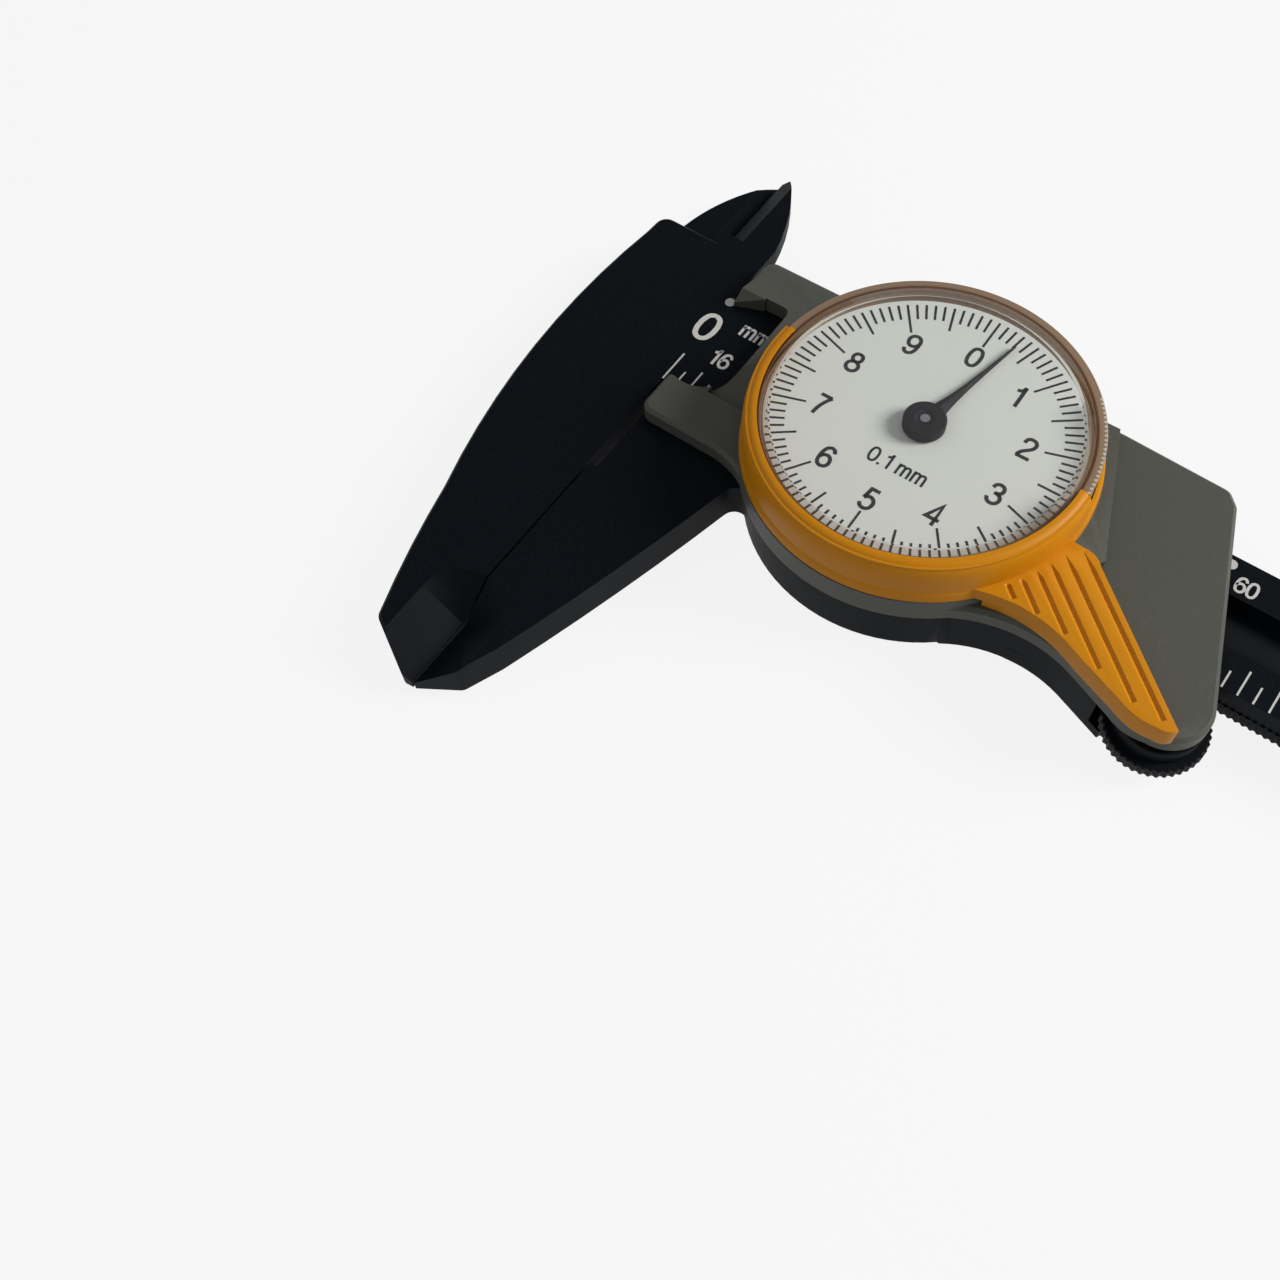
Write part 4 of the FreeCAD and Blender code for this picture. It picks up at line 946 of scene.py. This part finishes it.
# plain upright figures, drawn as pen strokes in a box one unit high: (width, strokes), where a
# stroke marked curved runs smoothly through its points
figures = {
    "0": (0.58, [("curved", [(0.29, 0.935), (0.14, 0.86), (0.07, 0.66), (0.062, 0.5), (0.07, 0.34),
                             (0.14, 0.14), (0.29, 0.065), (0.44, 0.14), (0.51, 0.34), (0.518, 0.5),
                             (0.51, 0.66), (0.44, 0.86), (0.29, 0.935)])]),
    "1": (0.5, [("straight", [(0.335, 0.0), (0.335, 1.0)]),
                ("curved", [(0.08, 0.745), (0.2, 0.77), (0.28, 0.84), (0.325, 0.97)])]),
    "2": (0.58, [("curved", [(0.075, 0.68), (0.11, 0.84), (0.2, 0.92), (0.3, 0.935), (0.42, 0.9),
                             (0.5, 0.8), (0.5, 0.66), (0.43, 0.53), (0.3, 0.41), (0.16, 0.28),
                             (0.085, 0.15), (0.07, 0.065)]),
                 ("straight", [(0.03, 0.065), (0.555, 0.065)])]),
    "3": (0.58, [("curved", [(0.075, 0.72), (0.12, 0.86), (0.21, 0.925), (0.29, 0.935), (0.41, 0.9),
                             (0.475, 0.8), (0.475, 0.67), (0.4, 0.57), (0.27, 0.535), (0.21, 0.535)]),
                 ("curved", [(0.27, 0.535), (0.42, 0.49), (0.51, 0.38), (0.51, 0.23), (0.43, 0.11),
                             (0.29, 0.065), (0.16, 0.1), (0.08, 0.19), (0.055, 0.28)])]),
    "4": (0.6, [("straight", [(0.425, 0.0), (0.425, 0.955), (0.055, 0.285), (0.585, 0.285)])]),
    "5": (0.58, [("straight", [(0.505, 0.935), (0.165, 0.935), (0.1, 0.475)]),
                 ("curved", [(0.1, 0.475), (0.18, 0.56), (0.3, 0.6), (0.43, 0.55), (0.51, 0.43),
                             (0.515, 0.29), (0.46, 0.15), (0.36, 0.075), (0.26, 0.065), (0.13, 0.11),
                             (0.06, 0.24)])]),
    "6": (0.58, [("curved", [(0.5, 0.75), (0.45, 0.87), (0.36, 0.93), (0.28, 0.93), (0.16, 0.86),
                             (0.09, 0.7), (0.065, 0.48), (0.075, 0.28), (0.13, 0.14), (0.23, 0.07),
                             (0.33, 0.065), (0.44, 0.11), (0.51, 0.22), (0.52, 0.34), (0.48, 0.47),
                             (0.39, 0.56), (0.28, 0.575), (0.16, 0.52), (0.08, 0.4)])]),
    "7": (0.56, [("straight", [(0.03, 0.935), (0.5, 0.935)]),
                 ("curved", [(0.5, 0.935), (0.38, 0.75), (0.28, 0.52), (0.215, 0.28), (0.185, 0.0)])]),
    "8": (0.58, [("curved", [(0.29, 0.935), (0.17, 0.9), (0.11, 0.8), (0.11, 0.68), (0.17, 0.58),
                             (0.29, 0.54), (0.41, 0.58), (0.47, 0.68), (0.47, 0.8), (0.41, 0.9),
                             (0.29, 0.935)]),
                 ("curved", [(0.29, 0.54), (0.15, 0.49), (0.065, 0.38), (0.065, 0.23), (0.15, 0.11),
                             (0.29, 0.065), (0.43, 0.11), (0.515, 0.23), (0.515, 0.38), (0.43, 0.49),
                             (0.29, 0.54)])]),
    "m": (0.86, [("straight", [(0.09, 0.0), (0.09, 0.72)]),
                 ("curved", [(0.09, 0.48), (0.15, 0.61), (0.26, 0.665), (0.37, 0.63), (0.415, 0.5)]),
                 ("straight", [(0.415, 0.52), (0.415, 0.0)]),
                 ("curved", [(0.415, 0.48), (0.475, 0.61), (0.585, 0.665), (0.695, 0.63), (0.74, 0.5)]),
                 ("straight", [(0.74, 0.52), (0.74, 0.0)])]),
    ".": (0.28, [("straight", [(0.13, 0.0), (0.13, 0.14)])]),
    " ": (0.22, []),
}
figures["9"] = (0.58, [(kind, [(0.58 - x, 1 - y) for x, y in points]) for kind, points in figures["6"][1]])
inkShape = {"gap": 0.03, "lowLetterTall": 0.72, "halfThickness": 0.02, "curveSteps": 5, "mitreLimit": 0.45,
            "straightBack": 1e-6}


def smoothRun(points):
    # a smooth run through the points
    wide = [points[0], *points, points[-1]]
    if points[0] == points[-1]:
        wide = [points[-2], *points, points[1]]
    run = []
    for before, start, end, after in zip(wide, wide[1:], wide[2:], wide[3:]):
        for step in range(inkShape["curveSteps"]):
            t = step / inkShape["curveSteps"]
            run.append(tuple(0.5 * (2 * q + (r - p) * t + (2 * p - 5 * q + 4 * r - s) * t * t
                                    + (3 * q - p - 3 * r + s) * t ** 3)
                             for p, q, r, s in zip(before, start, end, after)))
    run.append(points[-1])
    return run


def strokeEdges(run, halfWidth):
    # left and right edges of a stroke, mitred at its corners
    pairs = []
    for index, point in enumerate(run):
        here = Vector(point)
        before = here - Vector(run[index - 1]) if index else None
        after = Vector(run[index + 1]) - here if index < len(run) - 1 else None
        first = (before or after).normalized()
        second = (after or before).normalized()
        normal = Vector((-(first.y + second.y), first.x + second.x))
        if normal.length <= inkShape["straightBack"]:
            normal = Vector((-first.y, first.x))
        normal.normalize()
        reach = halfWidth / max(normal.dot(Vector((-first.y, first.x))), inkShape["mitreLimit"])
        pairs.append((here + normal * reach, here - normal * reach))
    return pairs


def lettering(words, height, centre, level, pen, widen=1.0, spin=0.0):
    # thin slabs of ink, the figures height tall and centred on a spot
    advance = 0.0
    strokes = []
    for letter in words:
        width, drawn = figures[letter]
        for kind, points in drawn:
            run = smoothRun(points) if kind == "curved" else points
            strokes.append([(x + advance, y) for x, y in run])
        advance += width + inkShape["gap"]
    tall = inkShape["lowLetterTall"] if set(words) == {"m"} else 1.0
    turn = Matrix.Rotation(spin, 3, "Z")
    middle = Vector((*centre, level))
    work = bmesh.new()
    for run in strokes:
        # the four long edges of the slab, each from the stroke's start to its end
        rows = [[], [], [], []]
        for left, right in strokeEdges(run, pen / 2):
            for row, spot, side in zip(rows, (left, right, right, left), (1, 1, -1, -1)):
                flat = Vector(((spot.x - advance / 2) * widen, spot.y - tall / 2, 0)) * (height / tall)
                row.append(middle + turn @ flat + Vector((0, 0, side * inkShape["halfThickness"])))
        knit(work, addRows(work, rows), closedRing=False)
    bmesh.ops.recalc_face_normals(work, faces=work.faces)
    return meshFromWork("words", work)


# scales on the beam; the letterings are words, height, centre and pen

dotScale = {"count": 16, "pitch": 10.0, "rowY": 5.9, "dotRadius": 0.58, "dotHeight": 0.04,
            "numberHeight": 1.95, "numberShift": 2.4, "numberY": 4.25, "pen": 0.15,
            "zeroHeight": 4.05, "zeroCentre": (-0.02, 1.63), "zeroPen": 0.14, "zeroWiden": 1.08,
            "unitHeight": 1.55, "unitCentre": (5.15, 3.4)}
lineScale = {"count": 96, "pitch": 1.5875, "baseY": -6.93, "shortLength": 2.04, "middleLength": 3.01,
             "longLength": 4.05, "markWidth": 0.2, "markHeight": 0.04, "linesPerInch": 16,
             "numberHeight": 3.0, "numberY": -0.2, "pen": 0.15,
             "denominatorHeight": 2.2, "denominatorCentre": (3.76, -1.3)}


def printDots():
    top = place["beamTop"]
    growPiece("mmDots", makeDotRow(), dotScale, "scaleInk", (0, 0, top), "beam")
    words = [lettering("0", dotScale["zeroHeight"], dotScale["zeroCentre"], top, dotScale["zeroPen"],
                       dotScale["zeroWiden"]),
             lettering("mm", dotScale["unitHeight"], dotScale["unitCentre"], top, dotScale["pen"])]
    for step in range(1, dotScale["count"]):
        where = (step * dotScale["pitch"] + dotScale["numberShift"], dotScale["numberY"])
        words.append(lettering(str(step * 10), dotScale["numberHeight"], where, top, dotScale["pen"]))
    addPiece("mmNumbers", mergeMeshes("mmNumbers", words), "beam", "black_plastic", "scaleInk")


def printLines():
    top = place["beamTop"]
    growPiece("inchLines", makeBeamLines(), lineScale, "scaleInk", (0, 0, top), "beam")
    perInch = lineScale["linesPerInch"]
    words = [lettering(str(perInch), lineScale["denominatorHeight"], lineScale["denominatorCentre"], top,
                       lineScale["pen"])]
    for line in range(perInch, lineScale["count"], perInch):
        where = (line * lineScale["pitch"], lineScale["numberY"])
        words.append(lettering(str(line // perInch), lineScale["numberHeight"], where,
                               place["channelFloor"], lineScale["pen"]))
    addPiece("inchNumbers", mergeMeshes("inchNumbers", words), "beam", "black_plastic", "scaleInk")


printDots()
printLines()
print("scales printed")


# print on the dial

dialPrint = {
    "turn": 0.02, "count": 100, "outerRadius": 15.83, "unitLength": 1.93, "fiveLength": 3.13,
    "tenLength": 3.74, "markWidth": 0.25, "markHeight": 0.04, "startAngle": 90.0,
    "digitHeight": 2.75, "digitRadius": 10.45, "digitPen": 0.145,
    "unitText": "0.1 mm", "unitHeight": 1.9, "unitCentre": (0.38, -5.55), "unitPen": 0.14,
}


def printDial():
    level = place["faceTop"]
    growPiece("dialTicks", makeDialTicks(), dialPrint, "dialInk", (*place["face"], level), "dial",
              dialPrint["turn"])
    labels = [(dialPrint["unitText"], dialPrint["unitHeight"], Vector((*dialPrint["unitCentre"], 0)),
               dialPrint["unitPen"])]
    for digit in range(10):
        ahead, side = headingOf(90 - 36 * digit)
        labels.append((str(digit), dialPrint["digitHeight"], ahead * dialPrint["digitRadius"],
                       dialPrint["digitPen"]))
    turn = Matrix.Rotation(dialPrint["turn"], 3, "Z")
    words = []
    for text, height, spot, pen in labels:
        centre = Vector(place["face"]) + (turn @ spot).xy
        words.append(lettering(text, height, centre, level, pen, spin=dialPrint["turn"]))
    addPiece("dialNumbers", mergeMeshes("dialNumbers", words), "dial", "dial_white", "dialInk")


printDial()
print("dial printed")


# knurled stretch of the crystal's rim, where a finger turns it

crystalKnurl = {"count": 22, "startAngle": 3.0, "endAngle": 41.0, "ribRadius": 0.17, "ribHeight": 4.2,
                "middleHeight": 10.38, "rimRadius": 17.44}

# the ribs take an opaque pale tan finish, painted light caught in the clear ribs
growPiece("crystalKnurl", makeRibArc(), crystalKnurl, "crystalRibsPaintedLight",
          (*place["face"], crystalKnurl["middleHeight"]), "dial")
print("crystal knurl made")


# studio

studio = {
    "floorLevel": -1.585, "floorSize": 3000.0, "floorColour": (0.55, 0.55, 0.55), "floorRoughness": 0.9,
    "whiteShare": 0.87, "worldColour": (0.94, 0.96, 1.0), "worldStrength": 0.32,
    # the white backdrop fades between these heights of the view, from 1 straight up
    "dimAbove": 0.5, "whiteBelow": 0.1,
    "cameraSpot": (61.939, -84.166, 128.776), "lens": 40.51, "sensorWidth": 36.0,
    "nearest": 5.0, "farthest": 20000.0,
    "cameraRight": (0.80315, 0.59358, -0.05116), "cameraDown": (0.50434, -0.72308, -0.47201),
    "cameraForward": (-0.31717, 0.35329, -0.88011), "lampTarget": (40, 0, 0),
}
lamps = {
    "keyLamp": {"spot": (410, 250, 300), "size": 260, "power": 3.1, "colour": (1.0, 0.99, 0.97)},
    "fillLamp": {"spot": (-330, -260, 420), "size": 300, "power": 0.3, "colour": (0.97, 0.98, 1.0)},
}


def seenPlainly(tree):
    # 1 for what the camera sees, straight or through and in the object, and 0 for light that falls
    # on a surface, which would glow if the backdrop's white reached it through the crystal
    path = addNode(tree, "ShaderNodeLightPath")
    bounced = mathNode(tree, "MAXIMUM", path.outputs["Is Glossy Ray"], path.outputs["Is Transmission Ray"])
    direct = mathNode(tree, "LESS_THAN", path.outputs["Diffuse Depth"], 0.5)
    return mathNode(tree, "MAXIMUM", path.outputs["Is Camera Ray"],
                    mathNode(tree, "MULTIPLY", bounced, direct))


def makeFloor():
    half = studio["floorSize"] * mm / 2
    level = studio["floorLevel"] * mm
    mesh = bpy.data.meshes.new("studioFloor")
    mesh.from_pydata([(-half, -half, level), (half, -half, level), (half, half, level),
                      (-half, half, level)], [], [(0, 1, 2, 3)])
    floor = bpy.data.objects.new("studioFloor", mesh)
    scene.collection.objects.link(floor)
    material, tree, shader = newMaterial("paleFloor")
    shader.inputs["Base Color"].default_value = (*studio["floorColour"], 1.0)
    shader.inputs["Roughness"].default_value = studio["floorRoughness"]
    shader.inputs["Specular IOR Level"].default_value = 0.0
    share = mathNode(tree, "MULTIPLY", seenPlainly(tree), studio["whiteShare"])
    mixShaders(tree, share, shader, addNode(tree, "ShaderNodeEmission"))
    mesh.materials.append(material)


def makeWorld():
    world = bpy.data.worlds.new("studioWorld")
    scene.world = world
    world.use_nodes = True
    tree = world.node_tree
    background = next(node for node in tree.nodes if node.type == "BACKGROUND")
    background.inputs["Color"].default_value = (*studio["worldColour"], 1.0)
    background.inputs["Strength"].default_value = studio["worldStrength"]
    white = addNode(tree, "ShaderNodeBackground")
    white.inputs["Color"].default_value = (1.0, 1.0, 1.0, 1.0)
    # overhead the room is as dim to a reflection as it is to the lit surfaces
    height = addNode(tree, "ShaderNodeSeparateXYZ")
    tree.links.new(addNode(tree, "ShaderNodeTexCoord").outputs["Generated"], height.inputs[0])
    low = rangeNode(tree, height.outputs["Z"], studio["dimAbove"], studio["whiteBelow"])
    mixShaders(tree, mathNode(tree, "MULTIPLY", seenPlainly(tree), low), background, white, "OUTPUT_WORLD")


def makeLamps():
    target = Vector(studio["lampTarget"]) * mm
    for name, values in lamps.items():
        light = bpy.data.lights.new(name, "AREA")
        light.shape = "DISK"
        light.size = values["size"] * mm
        light.energy = values["power"]
        light.color = values["colour"]
        lamp = bpy.data.objects.new(name, light)
        scene.collection.objects.link(lamp)
        lamp.location = Vector(values["spot"]) * mm
        lamp.rotation_euler = (target - lamp.location).to_track_quat("-Z", "Y").to_euler()


def makeCamera():
    data = bpy.data.cameras.new("photoCamera")
    data.lens = studio["lens"]
    data.sensor_width = studio["sensorWidth"]
    data.sensor_fit = "HORIZONTAL"
    data.clip_start = studio["nearest"] * mm
    data.clip_end = studio["farthest"] * mm
    camera = bpy.data.objects.new("photoCamera", data)
    scene.collection.objects.link(camera)
    axes = (Vector(studio["cameraRight"]), -Vector(studio["cameraDown"]), -Vector(studio["cameraForward"]))
    turn = Matrix(axes).transposed().to_4x4()
    camera.matrix_world = Matrix.Translation(Vector(studio["cameraSpot"]) * mm) @ turn
    scene.camera = camera


makeFloor()
makeWorld()
makeLamps()
makeCamera()
scene.view_settings.view_transform = "Standard"
print("studio ready")
